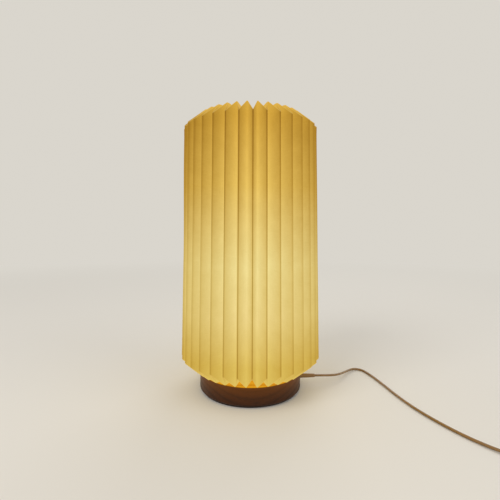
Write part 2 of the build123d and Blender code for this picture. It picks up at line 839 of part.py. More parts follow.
def make_cord_clamp():
    """Block over the lead, screwed up against the wood."""
    block = Box(clamp_length, clamp_breadth, clamp_top - clamp_foot, align=upwards)
    body = Rot(0, 0, cord_exit_angle) * Pos(clamp_place, 0, clamp_foot) * block
    reach = clamp_length / 2 + cut_margin
    body -= rod(cord_radius + screw_clearance,
                polar(clamp_place - reach, cord_exit_angle, cord_exit_height),
                polar(clamp_place + reach, cord_exit_angle, cord_exit_height))
    for side in (-1, 1):
        centre = clamp_screw_place(side)
        hole = extrude(Circle(clamp_screw_radius + screw_clearance), clamp_top - clamp_foot)
        body -= Pos(centre.X, centre.Y, clamp_foot) * hole
    return solid_of(body)


def make_clamp_screws():
    """Two small pan-head screws."""
    screws = []
    for side in (-1, 1):
        centre = clamp_screw_place(side)
        head = extrude(Circle(clamp_screw_head_radius), -clamp_screw_head_height)
        shank = extrude(Circle(clamp_screw_radius), clamp_top - clamp_foot + clamp_screw_grip)
        slot = Box(2 * clamp_screw_head_radius, slot_width, slot_depth, align=upwards)
        slot = Pos(0, 0, -clamp_screw_head_height) * slot
        screws.append(solid_of(Pos(centre.X, centre.Y, clamp_foot) * (head + shank - slot)))
    return screws


def make_wire(side):
    """One insulated wire from the lead's end up through the stem to its terminal."""
    reach = clamp_place - lead_tail
    start = polar(reach, cord_exit_angle, cord_exit_height)
    along = polar(1, cord_exit_angle, 0)
    aside = side * wire_spacing / 2
    start += Vector(-along.Y, along.X, 0) * aside
    low = (cover_top + stem_foot) / 2
    terminal = upstand_top - insert_boss_height - terminal_head_height - wire_radius - contact_gap
    return tube(f"wire {side}", [
        start,
        start - along * 3,
        Vector(0.68 * reach, aside + 0.8, cord_exit_height - 1.4),
        Vector(0.46 * reach, aside + 0.6, low + 1.0),
        Vector(0.21 * reach, aside, low),
        Vector(0.8 * side, aside, low + 1.2),
        Vector(1.0 * side, aside * 1.6, low + 9),
        Vector(1.1 * side, aside * 1.4, stem_top + 2),
        Vector(3.4 * side, aside, terminal - 4.0),
        Vector(side * (terminal_spacing / 2 - 1.0), 0, terminal),
    ], wire_radius, quiet=True)


# ---------------------------------------------------------------- switch on the cord
def switch_outline(inset):
    """Rounded rectangle of the switch, drawn in by an amount."""
    return RectangleRounded(switch_length - 2 * inset, switch_width - 2 * inset,
                            switch_corner_radius - inset)


def at_switch(shape):
    """Move a shape from the switch's own frame to where it lies."""
    return Pos(*switch_centre) * shape


def switch_shell(foot, top, floor_at):
    """One half of the switch's case, open towards the other half."""
    body = extrude(switch_outline(0), top - foot)
    body = Pos(0, 0, foot) * body
    outer_edge = body.edges().group_by(Axis.Z)[0 if floor_at == "foot" else -1]
    body = fillet(outer_edge, switch_edge_rounding)
    hollow_foot = foot + switch_wall if floor_at == "foot" else foot
    hollow_top = top if floor_at == "foot" else top - switch_wall
    body -= Pos(0, 0, hollow_foot) * extrude(switch_outline(switch_wall), hollow_top - hollow_foot)
    for side in (-1, 1):
        outside = side * switch_length / 2
        body -= rod(cord_radius + screw_clearance,
                    (outside - side * (switch_wall + cut_margin), 0, switch_split),
                    (outside + side * cut_margin, 0, switch_split))
    return body


def switch_posts(foot, top):
    """Screw posts at the two ends of the case."""
    posts = []
    for side in (-1, 1):
        post = extrude(Circle(post_radius), top - foot)
        posts.append(Pos(side * switch_post_place, side * post_offset, foot) * post)
    return posts


def switch_screw_holes():
    """Holes for the two screws, wider where their heads sink into the underside."""
    holes = []
    for side in (-1, 1):
        head_top = switch_screw_sink + switch_screw_head_height
        hole = extrude(Circle(switch_screw_head_radius + contact_gap), head_top)
        hole += extrude(Circle(switch_screw_radius + screw_clearance),
                        head_top + switch_screw_length + contact_gap)
        holes.append(Pos(side * switch_post_place, side * post_offset, 0) * hole)
    return holes


def make_switch_lower_case():
    """Lower half of the in-line switch."""
    body = switch_shell(0, switch_split, "foot")
    for post in switch_posts(switch_wall / 2, switch_split):
        body += post
    for hole in switch_screw_holes():
        body -= hole
    return solid_of(at_switch(body))


def make_switch_upper_case():
    """Upper half, with the rocker's window and its two bearings."""
    body = switch_shell(switch_split + switch_split_gap, switch_height, "top")
    for post in switch_posts(switch_split + switch_split_gap, switch_height - switch_wall / 2):
        body += post
    for hole in switch_screw_holes():
        body -= hole
    beside = rocker_width / 2 + window_gap
    for side in (-1, 1):
        cheek = Box(bearing_width, bearing_thickness, bearing_height,
                    align=(Align.CENTER, Align.CENTER, Align.MAX))
        cheek = Pos(0, side * (beside + bearing_thickness / 2), switch_height - switch_wall / 2) * cheek
        body += cheek
    window = Box(rocker_length + 4 * window_gap, 2 * beside, 2 * (switch_height - switch_split))
    body -= Pos(0, 0, switch_height) * window
    reach = beside + bearing_thickness
    body -= rod(rocker_pin_radius + running_clearance, (0, -reach, rocker_axis_height),
                (0, reach, rocker_axis_height))
    return solid_of(at_switch(body))


def make_switch_rocker():
    """Rocker with two pins, tipped to its on side."""
    half = rocker_length / 2
    crown = ThreePointArc((-half, rocker_rise), (0, rocker_rise - rocker_dip), (half, rocker_rise))
    keel = rocker_keel_width / 2
    underside = Polyline((half, rocker_rise), (half - rocker_bevel, -rocker_end_depth),
                         (keel, -rocker_keel_depth), (-keel, -rocker_keel_depth),
                         (-half + rocker_bevel, -rocker_end_depth), (-half, rocker_rise))
    body = extrude(make_face(Plane.XZ * (crown + underside)), rocker_width / 2, both=True)
    reach = rocker_width / 2 + rocker_pin_length
    body += rod(rocker_pin_radius, (0, -reach, 0), (0, reach, 0))
    tipped = Rot(0, -rocker_tilt, 0) * body
    return solid_of(at_switch(Pos(0, 0, rocker_axis_height) * tipped))


def make_switch_screws():
    """Two screws that hold the switch's halves together."""
    screws = []
    for side in (-1, 1):
        head = extrude(Circle(switch_screw_head_radius), switch_screw_head_height)
        shank = extrude(Circle(switch_screw_radius), switch_screw_head_height + switch_screw_length)
        slot = Box(2 * switch_screw_head_radius, slot_width, slot_depth, align=upwards)
        place = Pos(side * switch_post_place, side * post_offset, switch_screw_sink)
        screws.append(solid_of(at_switch(place * (head + shank - slot))))
    return screws


def make_switch_contacts():
    """Two brass strips that the rocker bridges."""
    strips = []
    keel_foot = rocker_axis_height - rocker_keel_depth
    for side in (-1, 1):
        strip = Box(strip_length, strip_width, strip_thickness, align=upwards)
        riser = Box(strip_thickness, strip_width, keel_foot - strip_gap - switch_wall, align=upwards)
        inner_end = strip_place - (strip_length - strip_thickness) / 2
        strip = Pos(side * strip_place, 0, switch_wall) * strip
        riser = Pos(side * inner_end, 0, switch_wall) * riser
        strips.append(solid_of(at_switch(strip + riser)))
    return strips


def make_switch_wires():
    """The wires inside the switch: one runs through, the other is cut at the contacts."""
    end = switch_length / 2
    axis = switch_split
    straight = tube("through wire", [(-end, 0.8, axis), (-end + 3, 0.8, axis),
                                     (-end + 9, 1.6, axis - 0.6),
                                     (-12, 5.6, axis - 1.6), (9, 5.8, axis - 1.6),
                                     (end - 11, 1.2, axis - 0.6), (end - 3, 0.8, axis),
                                     (end, 0.8, axis)],
                    wire_radius, quiet=True)
    wires = [straight]
    for side in (-1, 1):
        wires.append(tube("cut wire", [(side * end, -0.8, axis), (side * (end - 3), -0.8, axis),
                                       (side * (end - 10), -1.6, axis - 1.0),
                                       (side * 12.6, -1.2, switch_wall + wire_radius + 0.6)],
                          wire_radius, quiet=True))
    return [solid_of(at_switch(wire)) for wire in wires]


# ---------------------------------------------------------------- coil of spare cord
def coil_edges():
    """Half turns that spiral in and out, with a climbing half turn between layers."""
    x, z = coil_outer_radius, coil_first_layer
    side = 1
    edges = [Line((x, -2 * cord_radius, z), (x, 0, z)).edge()]
    for layer, half_turns in enumerate(coil_half_turns):
        drift = -coil_step / 2 if layer % 2 == 0 else coil_step / 2
        if layer:
            edges += climb_edges(x, side, z)
            side = -side
            z += coil_layer_step
        for _ in range(half_turns):
            following = x + drift
            middle = side * (x - following) / 2
            edges.append(Edge.make_three_point_arc(
                (side * x, 0, z), (middle, side * (x + following) / 2, z), (-side * following, 0, z)))
            x = following
            side = -side
    edges.append(Line((side * x, 0, z), (side * x, side * 2 * cord_radius, z)).edge())
    return edges


def climb_edges(radius, side, height):
    """A half turn of two arcs that rises by one layer."""
    slope = math.atan2(coil_layer_step, 2 * radius)
    crest = (0, side * radius / math.cos(slope), height + coil_layer_step / 2)
    tangent = (-side * math.cos(slope), 0, math.sin(slope))
    first = Edge.make_tangent_arc((side * radius, 0, height), (0, side, 0), crest)
    second = Edge.make_tangent_arc(crest, tangent, (-side * radius, 0, height + coil_layer_step))
    return [first, second]


def least_gap(path):
    """Smallest clear distance between two stretches of the coil, on points along it."""
    count = int(path.length / 1.5)
    points = [path.position_at(k / count) for k in range(count + 1)]
    skip = int(5 * cord_radius / 1.5) + 2
    least = min((points[i] - points[j]).length
                for i in range(0, count + 1) for j in range(i + skip, count + 1))
    return least - 2 * cord_radius


def make_cord_coil():
    """The spare cord, wound in one unbroken tube."""
    path = Wire(coil_edges())
    section = Plane(origin=path @ 0, z_dir=path % 0) * Circle(cord_radius)
    body = solid_of(sweep(section, path=path))
    share = body.volume / (math.pi * cord_radius ** 2 * path.length)
    print(f"coil: length {path.length:.1f}, least gap to itself {least_gap(path):.2f}, "
          f"volume over section x length {share:.4f}")
    return solid_of(Pos(coil_centre.X, coil_centre.Y, 0) * body)


def make_cord_ties():
    """Two bands round the wound cord, which lies on them."""
    inside = math.sqrt((coil_inner_radius - cord_radius) ** 2 - (tie_width / 2) ** 2) - tie_gap
    outside = coil_outer_radius + cord_radius + tie_gap
    top = coil_lift + 2 * cord_radius + 3 * coil_layer_step + tie_gap
    width = outside - inside
    height = top - tie_thickness
    middle = Plane.XZ * Pos((inside + outside) / 2, tie_thickness + height / 2)
    outer = RectangleRounded(width + 2 * tie_thickness, height + 2 * tie_thickness,
                             tie_corner_radius + tie_thickness)
    band = middle * (outer - RectangleRounded(width, height, tie_corner_radius))
    band = extrude(band, tie_width / 2, both=True)
    return [solid_of(Pos(coil_centre.X, coil_centre.Y, 0) * Rot(0, 0, angle) * band)
            for angle in tie_angles]


# ---------------------------------------------------------------- plug
def at_plug(shape):
    """Move a shape from the plug's own frame, which points along +Y, to where it lies."""
    return Pos(*plug_neck_foot) * shape


def make_plug_body():
    """Flat two-pin plug with a tapered neck over the cord."""
    rear = plug_neck_length
    front = rear + plug_length
    outline = Polyline(
        (-plug_rear_width / 2, rear), (-plug_width / 2, rear + plug_shoulder),
        (-plug_front_width / 2, front), (plug_front_width / 2, front),
        (plug_width / 2, rear + plug_shoulder), (plug_rear_width / 2, rear), close=True)
    body = extrude(make_face(outline), plug_height / 2, both=True)
    body = fillet(body.edges().filter_by(Axis.Z), plug_corner_radius)
    flats = body.edges().filter_by(lambda edge: abs(abs(edge.center().Z) - plug_height / 2) < 0.01)
    body = chamfer(flats, plug_edge_chamfer)
    forward = (0, 1, 0)
    neck_end = Plane(origin=(0, 0, 0), z_dir=forward) * Circle(plug_neck_radius)
    neck_root = Plane(origin=(0, rear + plug_neck_sink, 0), z_dir=forward)
    body += loft([neck_end, neck_root * Circle(plug_height / 2 - plug_neck_inset)])
    for side in (-1, 1):
        x = side * pin_spacing / 2
        body -= rod(pin_root_radius, (x, front - pin_root, 0), (x, front - pin_root_cover, 0))
        body -= rod(pin_radius, (x, front - pin_root, 0), (x, front + cut_margin, 0))
    return solid_of(at_plug(body))


def make_plug_pins():
    """Two round pins with thick roots in the plug, waisted under their insulating sleeves."""
    front = plug_neck_length + plug_length
    pins = []
    for side in (-1, 1):
        x = side * pin_spacing / 2
        root = rod(pin_root_radius, (x, front - pin_root, 0), (x, front - pin_root_cover, 0))
        stem = rod(pin_radius, (x, front - pin_root_cover, 0), (x, front, 0))
        waist = rod(pin_radius - pin_sleeve_wall, (x, front - cut_margin, 0),
                    (x, front + pin_sleeve_length + cut_margin, 0))
        bare = rod(pin_radius, (x, front + pin_sleeve_length, 0), (x, front + pin_length, 0))
        bare = fillet(bare.edges().sort_by(Axis.Y)[-1], pin_tip_rounding)
        pins.append(solid_of(at_plug(root + stem + waist + bare)))
    return pins


def make_pin_sleeves():
    """Insulating sleeves on the pins, flush with their bare ends."""
    front = plug_neck_length + plug_length
    sleeves = []
    for side in (-1, 1):
        x = side * pin_spacing / 2
        sleeve = rod(pin_radius, (x, front, 0), (x, front + pin_sleeve_length, 0))
        sleeve -= rod(pin_radius - pin_sleeve_wall, (x, front - cut_margin, 0),
                      (x, front + pin_sleeve_length + cut_margin, 0))
        sleeves.append(solid_of(at_plug(sleeve)))
    return sleeves


# ---------------------------------------------------------------- write every node
def main():
    """Make and write the lamp's pieces."""
    save("wooden_base", make_wooden_base())
    save("felt_pad", make_felt_pad())
    save("base_cover", make_base_cover())
    save("cover_screws", *make_cover_screws())
    save("threaded_tube", make_stem())
    save("tube_nut", make_stem_nut())
    save("tube_washer", make_stem_washer())
    save("holder_cap", make_holder_cap())
    save("holder_skirt", make_holder_skirt())
    save("holder_insert", make_holder_insert())
    save("screw_sleeve", make_screw_sleeve())
    save("centre_contact", make_centre_contact())
    save("terminal_screws", *make_terminal_screws())
    save("bulb_tip", make_bulb_tip())
    save("bulb_insulator", make_bulb_insulator())
    save("bulb_cap", make_bulb_cap())
    save("bulb_housing", make_bulb_housing())
    save("bulb_diffuser", make_bulb_diffuser())
    save("led_board", make_led_board())
    save("led_chips", *make_led_chips())
    save("driver_board", make_driver_board())
    save("driver_parts", *make_driver_parts())
    save("pleated_shade", make_pleated_shade())
    save("shade_top_ring", make_top_ring())
    save("shade_carrier", make_shade_carrier())
    save("inner_lead", make_inner_lead())
    save("strain_relief", make_strain_relief())
    save("cord_clamp", make_cord_clamp())
    save("clamp_screws", *make_clamp_screws())
    save("live_wire", make_wire(1))
    save("neutral_wire", make_wire(-1))
    save("lamp_cord", tube("lamp cord", lamp_cord_route, cord_radius))
    save("coil_cord", tube("coil cord", coil_cord_route, cord_radius))
    save("plug_cord", tube("plug cord", plug_cord_route, cord_radius))
    save("cord_coil", make_cord_coil())
    save("cord_ties", *make_cord_ties())
    save("switch_lower_case", make_switch_lower_case())
    save("switch_upper_case", make_switch_upper_case())
    save("switch_rocker", make_switch_rocker())
    save("switch_screws", *make_switch_screws())
    save("switch_contacts", *make_switch_contacts())
    save("switch_wires", *make_switch_wires())
    save("plug_body", make_plug_body())
    save("plug_pins", *make_plug_pins())
    save("pin_sleeves", *make_pin_sleeves())
    print(f"paper sheet: {2 * pleat_count * face_width():.0f} x {shade_height + 2 * turned_in:.0f} "
          "before the glued lap")


main()
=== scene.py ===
"""A pleated paper table lamp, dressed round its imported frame.

Metres, +Z up, with the origin on the table under the wooden base.  -Y faces the viewer and
the cord leaves on the +X side.  The camera and the studio are made first, then one class for
each sub-assembly builds its own pieces and dresses them, and main() reports every piece.
"""
from __future__ import annotations

import json
import logging
import math
from collections.abc import Callable, Iterable, Sequence
from dataclasses import dataclass, field
from enum import Enum

import bmesh
import bpy
from mathutils import Matrix, Vector, noise

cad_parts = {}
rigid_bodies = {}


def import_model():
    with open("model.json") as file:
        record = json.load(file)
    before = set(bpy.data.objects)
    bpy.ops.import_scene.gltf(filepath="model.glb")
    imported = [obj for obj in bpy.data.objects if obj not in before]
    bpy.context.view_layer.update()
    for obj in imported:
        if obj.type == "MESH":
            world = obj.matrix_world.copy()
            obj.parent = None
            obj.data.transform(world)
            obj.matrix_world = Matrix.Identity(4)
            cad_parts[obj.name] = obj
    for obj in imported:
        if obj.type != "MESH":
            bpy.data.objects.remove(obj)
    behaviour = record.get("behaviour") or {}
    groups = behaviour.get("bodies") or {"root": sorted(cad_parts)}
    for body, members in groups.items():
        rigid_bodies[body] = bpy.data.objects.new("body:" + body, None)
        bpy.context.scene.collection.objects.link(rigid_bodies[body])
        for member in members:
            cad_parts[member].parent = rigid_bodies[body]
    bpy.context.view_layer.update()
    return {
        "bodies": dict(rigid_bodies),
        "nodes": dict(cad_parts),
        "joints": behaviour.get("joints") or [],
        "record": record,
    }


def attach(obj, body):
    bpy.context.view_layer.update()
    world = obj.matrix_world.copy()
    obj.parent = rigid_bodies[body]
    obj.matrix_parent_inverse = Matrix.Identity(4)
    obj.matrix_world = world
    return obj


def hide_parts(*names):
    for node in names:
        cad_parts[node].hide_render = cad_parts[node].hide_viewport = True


log = logging.getLogger("paper_lamp")

Colour = tuple[float, float, float]
Point = tuple[float, float, float]
Corner = tuple[float, float]
Tones = tuple[tuple[int, int, int], ...]
Socket = bpy.types.NodeSocket
Wires = dict[str, Socket]

MM = 0.001
BLACK: Colour = (0.0, 0.0, 0.0)
WHITE: Colour = (1.0, 1.0, 1.0)


class Body(Enum):
    """The bodies of the frame that pieces made here ride on."""

    BASE = "lamp_base"
    SHADE = "shade"
    BULB = "bulb"


class Blend(Enum):
    """How one colour is laid over another."""

    MIX = "MIX"
    DARKEN = "MULTIPLY"


def screen_colour(red: int, green: int, blue: int) -> Colour:
    """Turn a colour of 0 to 255 steps, as a screen shows it, into a linear one.

    Args:
        red: Red part.
        green: Green part.
        blue: Blue part.

    Returns:
        The linear colour.
    """

    def linear(step: int) -> float:
        """One part of the colour, made linear."""
        share = step / 255
        return share / 12.92 if share <= 0.04045 else ((share + 0.055) / 1.055) ** 2.4

    return linear(red), linear(green), linear(blue)


def less(colour: Colour, taken: Colour, share: float) -> Colour:
    """Take a share of one colour away from another.

    Args:
        colour: The colour to start from.
        taken: The colour that is taken away.
        share: How much of it.

    Returns:
        What is left, never under zero.
    """
    red, green, blue = (max(0.0, part - share * other) for part, other in zip(colour, taken))
    return red, green, blue


def times(colour: Colour, factor: float) -> Colour:
    """Make a colour darker or brighter by a factor."""
    red, green, blue = (factor * part for part in colour)
    return red, green, blue


# ------------------------------------------------------------------ shader trees
class Graph:
    """Short calls for wiring one node tree."""

    def __init__(self, tree: bpy.types.NodeTree) -> None:
        """Keep the tree that the calls add to."""
        self.tree = tree

    def node(self, kind: str, **settings: object) -> bpy.types.Node:
        """Add a node.

        Args:
            kind: Type name of the node.
            **settings: Properties that are set on it.

        Returns:
            The new node.
        """
        made = self.tree.nodes.new(kind)
        for name, value in settings.items():
            setattr(made, name, value)
        return made

    def feed(self, socket: Socket, source: Socket | float | Sequence[float]) -> None:
        """Link a source to a socket, or set the socket to a plain value.

        Args:
            socket: The input to feed.
            source: Another node's output, a number, or a colour or place.
        """
        if isinstance(source, bpy.types.NodeSocket):
            self.tree.links.new(source, socket)
        elif socket.type == "RGBA" and not isinstance(source, float):
            socket.default_value = (*source, 1.0)
        else:
            socket.default_value = source

    def fill(self, made: bpy.types.Node, sources: dict[str, Socket | float | Sequence[float]]) -> Socket:
        """Feed several inputs of a node.

        Args:
            made: The node.
            sources: What goes into each input, by the input's name.

        Returns:
            The node's first output.
        """
        for label, source in sources.items():
            self.feed(made.inputs[label], source)
        return made.outputs[0]

    def sum(self, operation: str, *values: Socket | float, clamp: bool = False) -> Socket:
        """Work out one sum.

        Args:
            operation: Name of the sum.
            *values: What goes into it.
            clamp: Keep the result between 0 and 1.

        Returns:
            The result.
        """
        made = self.node("ShaderNodeMath", operation=operation, use_clamp=clamp)
        for socket, value in zip(made.inputs, values):
            self.feed(socket, value)
        return made.outputs[0]

    def length(self, x: Socket, y: Socket) -> Socket:
        """How long the run (x, y) is."""
        return self.sum("SQRT", self.sum("MULTIPLY_ADD", x, x, self.sum("MULTIPLY", y, y)))

    def span(self, value: Socket, start: float, end: float, low: float = 0.0, high: float = 1.0,
             smooth: bool = False) -> Socket:
        """Map a value from one range to another, clamped at both ends.

        Args:
            value: What is mapped.
            start: Value that gives low.
            end: Value that gives high.
            low: Result at start.
            high: Result at end.
            smooth: Ease in and out.

        Returns:
            The mapped value.
        """
        kind = "SMOOTHSTEP" if smooth else "LINEAR"
        made = self.node("ShaderNodeMapRange", interpolation_type=kind)
        for socket, given in zip(made.inputs[:5], (value, start, end, low, high)):
            self.feed(socket, given)
        return made.outputs[0]

    def mix(self, factor: Socket | float, under: Socket | Colour, over: Socket | Colour,
            blend: Blend = Blend.MIX) -> Socket:
        """Lay one colour over another.

        Args:
            factor: How much of the upper one shows.
            under: The lower colour.
            over: The upper colour.
            blend: How it is laid over.

        Returns:
            The mixed colour.
        """
        made = self.node("ShaderNodeMix", data_type="RGBA", blend_type=blend.value)
        self.feed(made.inputs[0], factor)
        self.feed(made.inputs[6], under)
        self.feed(made.inputs[7], over)
        return made.outputs[2]

    def cover(self, share: Socket, under: Socket, over: Socket) -> Socket:
        """Lay one shader over another.

        Args:
            share: How much of the upper one shows.
            under: The lower shader.
            over: The upper shader.

        Returns:
            The mixed shader.
        """
        made = self.node("ShaderNodeMixShader")
        for socket, source in zip(made.inputs, (share, under, over)):
            self.feed(socket, source)
        return made.outputs[0]

    def ramp(self, value: Socket, stops: Sequence[tuple[float, Colour]]) -> Socket:
        """Turn a value into a colour by stops along a ramp.

        Args:
            value: Place along the ramp.
            stops: Places between 0 and 1 with their colours.

        Returns:
            The colour.
        """
        made = self.node("ShaderNodeValToRGB")
        line = made.color_ramp
        while len(line.elements) < len(stops):
            line.elements.new(0.5)
        for element, (place, colour) in zip(line.elements, stops):
            element.position = place
            element.color = (*colour, 1.0)
        self.feed(made.inputs[0], value)
        return made.outputs[0]

    def place(self) -> Socket:
        """Where a point lies in the lamp's frame, in metres."""
        return self.node("ShaderNodeTexCoord").outputs["Object"]

    def parts(self, vector: Socket) -> tuple[Socket, Socket, Socket]:
        """The x, y and z of a vector."""
        made = self.node("ShaderNodeSeparateXYZ")
        self.feed(made.inputs[0], vector)
        return made.outputs[0], made.outputs[1], made.outputs[2]

    def stretched(self, vector: Socket, scale: Point, turn: float = 0.0) -> Socket:
        """Scale a vector along each axis, after a turn about Z in degrees."""
        turns = (0.0, 0.0, math.radians(turn))
        return self.fill(self.node("ShaderNodeMapping"), {
            "Vector": vector, "Rotation": turns, "Scale": scale})

    def clouds(self, vector: Socket, scale: Socket | float, detail: float = 3.0,
               roughness: float = 0.5, twist: float = 0.0) -> Socket:
        """Cloudy noise between 0 and 1.

        Args:
            vector: Where it is laid out.
            scale: How many clouds go in a metre.
            detail: How many finer layers lie on it.
            roughness: How strong the finer layers are.
            twist: How far it is swirled.

        Returns:
            The noise.
        """
        return self.fill(self.node("ShaderNodeTexNoise"), {
            "Vector": vector, "Scale": scale, "Detail": detail, "Roughness": roughness, "Distortion": twist})

    def bump(self, height: Socket, distance: float, strength: float = 1.0) -> Socket:
        """Turn a height into a normal."""
        return self.fill(self.node("ShaderNodeBump"), {
            "Strength": strength, "Distance": distance, "Height": height})


class Effect:
    """A shader node group that several materials share."""

    def __init__(self, name: str, inputs: dict[str, float], outputs: Sequence[str],
                 wire: Callable[[Graph, Socket, Wires], Wires]) -> None:
        """Build the group once.

        Args:
            name: The group's name.
            inputs: Number inputs with their first values, next to the vector.
            outputs: Names of the values that it puts out.
            wire: Function that wires the group and returns its outputs.
        """
        tree = bpy.data.node_groups.new(name, "ShaderNodeTree")
        tree.interface.new_socket("Vector", in_out="INPUT", socket_type="NodeSocketVector")
        for label, value in inputs.items():
            socket = tree.interface.new_socket(label, in_out="INPUT", socket_type="NodeSocketFloat")
            socket.default_value = value
        for label in outputs:
            tree.interface.new_socket(label, in_out="OUTPUT", socket_type="NodeSocketFloat")
        graph = Graph(tree)
        start = graph.node("NodeGroupInput")
        end = graph.node("NodeGroupOutput")
        given = {label: start.outputs[label] for label in inputs}
        for label, source in wire(graph, start.outputs["Vector"], given).items():
            graph.feed(end.inputs[label], source)
        self.tree = tree

    def use(self, graph: Graph, vector: Socket, **values: float) -> Wires:
        """Place the group in a material.

        Args:
            graph: The material's tree.
            vector: Where the effect is laid out.
            **values: Inputs by name, with _ for a space.

        Returns:
            The outputs by name.
        """
        made = graph.node("ShaderNodeGroup", node_tree=self.tree)
        graph.feed(made.inputs["Vector"], vector)
        for label, value in values.items():
            graph.feed(made.inputs[label.replace("_", " ").title()], value)
        return {socket.name: socket for socket in made.outputs}


def wire_fibres(graph: Graph, vector: Socket, given: Wires) -> Wires:
    """Cloudy pulp with fine fibres that cross each other.

    Args:
        graph: The group's tree.
        vector: Where the effect is laid out.
        given: The group's inputs.

    Returns:
        The tone, and the height of the fibres.
    """
    runs = (((1.0, 1.0, 0.16), 31.0), ((0.2, 0.2, 1.0), -24.0))
    fibre_share = 0.45
    clouds = graph.clouds(vector, given["Clouds"], detail=4.0, roughness=0.6)
    threads = graph.sum("MAXIMUM", *(
        graph.clouds(graph.stretched(vector, scale, turn), given["Fibres"], detail=2.0, twist=0.6)
        for scale, turn in runs))
    pulp = graph.sum("MULTIPLY", clouds, 1 - fibre_share)
    return {"Tone": graph.sum("MULTIPLY_ADD", threads, fibre_share, pulp), "Height": threads}


def wire_timber(graph: Graph, vector: Socket, given: Wires) -> Wires:
    """Growth rings of a plank whose pith lies along X under the lamp, with open pores.

    Args:
        graph: The group's tree.
        vector: Where the effect is laid out.
        given: The group's inputs.

    Returns:
        The tone, a mask of the pores, and the height.
    """
    pith_below, pith_aside = 55 * MM, 18 * MM
    sway_in_rings, late_sharpness = 5.0, 2.2
    late_tone, figure_tone, late_relief = 0.6, 0.4, 0.3
    y, z = graph.parts(vector)[1:]
    sway = graph.clouds(graph.stretched(vector, (3.0, 9.0, 9.0)), 1.0)
    radius = graph.length(graph.sum("ADD", z, pith_below), graph.sum("ADD", y, pith_aside))
    rings = graph.sum("DIVIDE", radius, given["Spacing"])
    swayed = graph.sum("ADD", rings, graph.sum("MULTIPLY", sway, sway_in_rings))
    late = graph.sum("POWER", graph.sum("PINGPONG", swayed, 1.0), late_sharpness)
    pores = graph.clouds(graph.stretched(vector, (60.0, 900.0, 900.0)), 1.0, detail=2.0, roughness=0.55)
    pits = graph.sum("MULTIPLY", graph.span(pores, 0.56, 0.7), given["Pores"])
    figure = graph.clouds(graph.stretched(vector, (14.0, 60.0, 60.0)), 1.0, roughness=0.6)
    wide = graph.sum("MULTIPLY", figure, figure_tone)
    tone = graph.sum("ADD", graph.sum("MULTIPLY", late, late_tone), wide)
    height = graph.sum("SUBTRACT", graph.sum("MULTIPLY", late, late_relief), pits)
    return {"Tone": tone, "Pits": pits, "Height": height}


def wire_moulding(graph: Graph, vector: Socket, given: Wires) -> Wires:
    """The fine orange peel and faint flow marks of a moulded surface.

    Args:
        graph: The group's tree.
        vector: Where the effect is laid out.
        given: The group's inputs.

    Returns:
        The tone of the flow marks, and the height of the peel.
    """
    peel = graph.clouds(vector, given["Peel"], detail=2.0, roughness=0.6)
    flow = graph.clouds(vector, given["Flow"], twist=1.2)
    return {"Tone": flow, "Height": peel}


def wire_turning(graph: Graph, vector: Socket, given: Wires) -> Wires:
    """Fine tool marks round the Z axis, as rolling, drawing or turning leaves.

    Args:
        graph: The group's tree.
        vector: Where the effect is laid out.
        given: The group's inputs.

    Returns:
        The tone of the marks, a mask of stains, and the height of the marks.
    """
    x, y, z = graph.parts(vector)
    along_marks = graph.fill(graph.node("ShaderNodeCombineXYZ"), {
        "X": graph.sum("MULTIPLY", graph.length(x, y), given["Marks"]),
        "Z": graph.sum("MULTIPLY", z, given["Marks"])})
    marks = graph.clouds(along_marks, 1.0, detail=2.0, roughness=0.7)
    stain = graph.clouds(vector, given["Stain"], roughness=0.6)
    return {"Tone": marks, "Stain": stain, "Height": marks}


def wire_wear(graph: Graph, vector: Socket, given: Wires) -> Wires:
    """A mask of the edges, broken up as handling wears them.

    Args:
        graph: The group's tree.
        vector: Where the effect is laid out.
        given: The group's inputs.

    Returns:
        The mask.
    """
    flat_enough, sharp_enough = 0.995, 0.86
    patches = 260.0
    bevel = graph.node("ShaderNodeBevel", samples=4)
    graph.feed(bevel.inputs["Radius"], given["Width"])
    dot = graph.node("ShaderNodeVectorMath", operation="DOT_PRODUCT")
    graph.feed(dot.inputs[0], bevel.outputs[0])
    graph.feed(dot.inputs[1], graph.node("ShaderNodeNewGeometry").outputs["Normal"])
    edge = graph.span(dot.outputs["Value"], flat_enough, sharp_enough)
    broken = graph.span(graph.clouds(vector, patches, detail=4.0, roughness=0.65), 0.38, 0.62)
    return {"Mask": graph.sum("MULTIPLY", graph.sum("MULTIPLY", edge, broken), given["Amount"])}


@dataclass
class Effects:
    """The shader node groups, built once."""

    fibres: Effect = field(default_factory=lambda: Effect(
        "paper_fibres", {"Clouds": 60.0, "Fibres": 900.0}, ("Tone", "Height"), wire_fibres))
    timber: Effect = field(default_factory=lambda: Effect(
        "timber", {"Spacing": 0.0032, "Pores": 0.6}, ("Tone", "Pits", "Height"), wire_timber))
    moulding: Effect = field(default_factory=lambda: Effect(
        "moulding", {"Peel": 1400.0, "Flow": 60.0}, ("Tone", "Height"), wire_moulding))
    turning: Effect = field(default_factory=lambda: Effect(
        "turning_marks", {"Marks": 2600.0, "Stain": 90.0}, ("Tone", "Stain", "Height"), wire_turning))
    wear: Effect = field(default_factory=lambda: Effect(
        "edge_wear", {"Width": 0.0006, "Amount": 0.6}, ("Mask",), wire_wear))


def new_material(name: str) -> tuple[bpy.types.Material, Graph, bpy.types.Node]:
    """Start a material.

    Args:
        name: The material's name.

    Returns:
        The material, its tree and its Principled shader.
    """
    material = bpy.data.materials.new(name)
    material.use_nodes = True
    graph = Graph(material.node_tree)
    return material, graph, material.node_tree.nodes["Principled BSDF"]


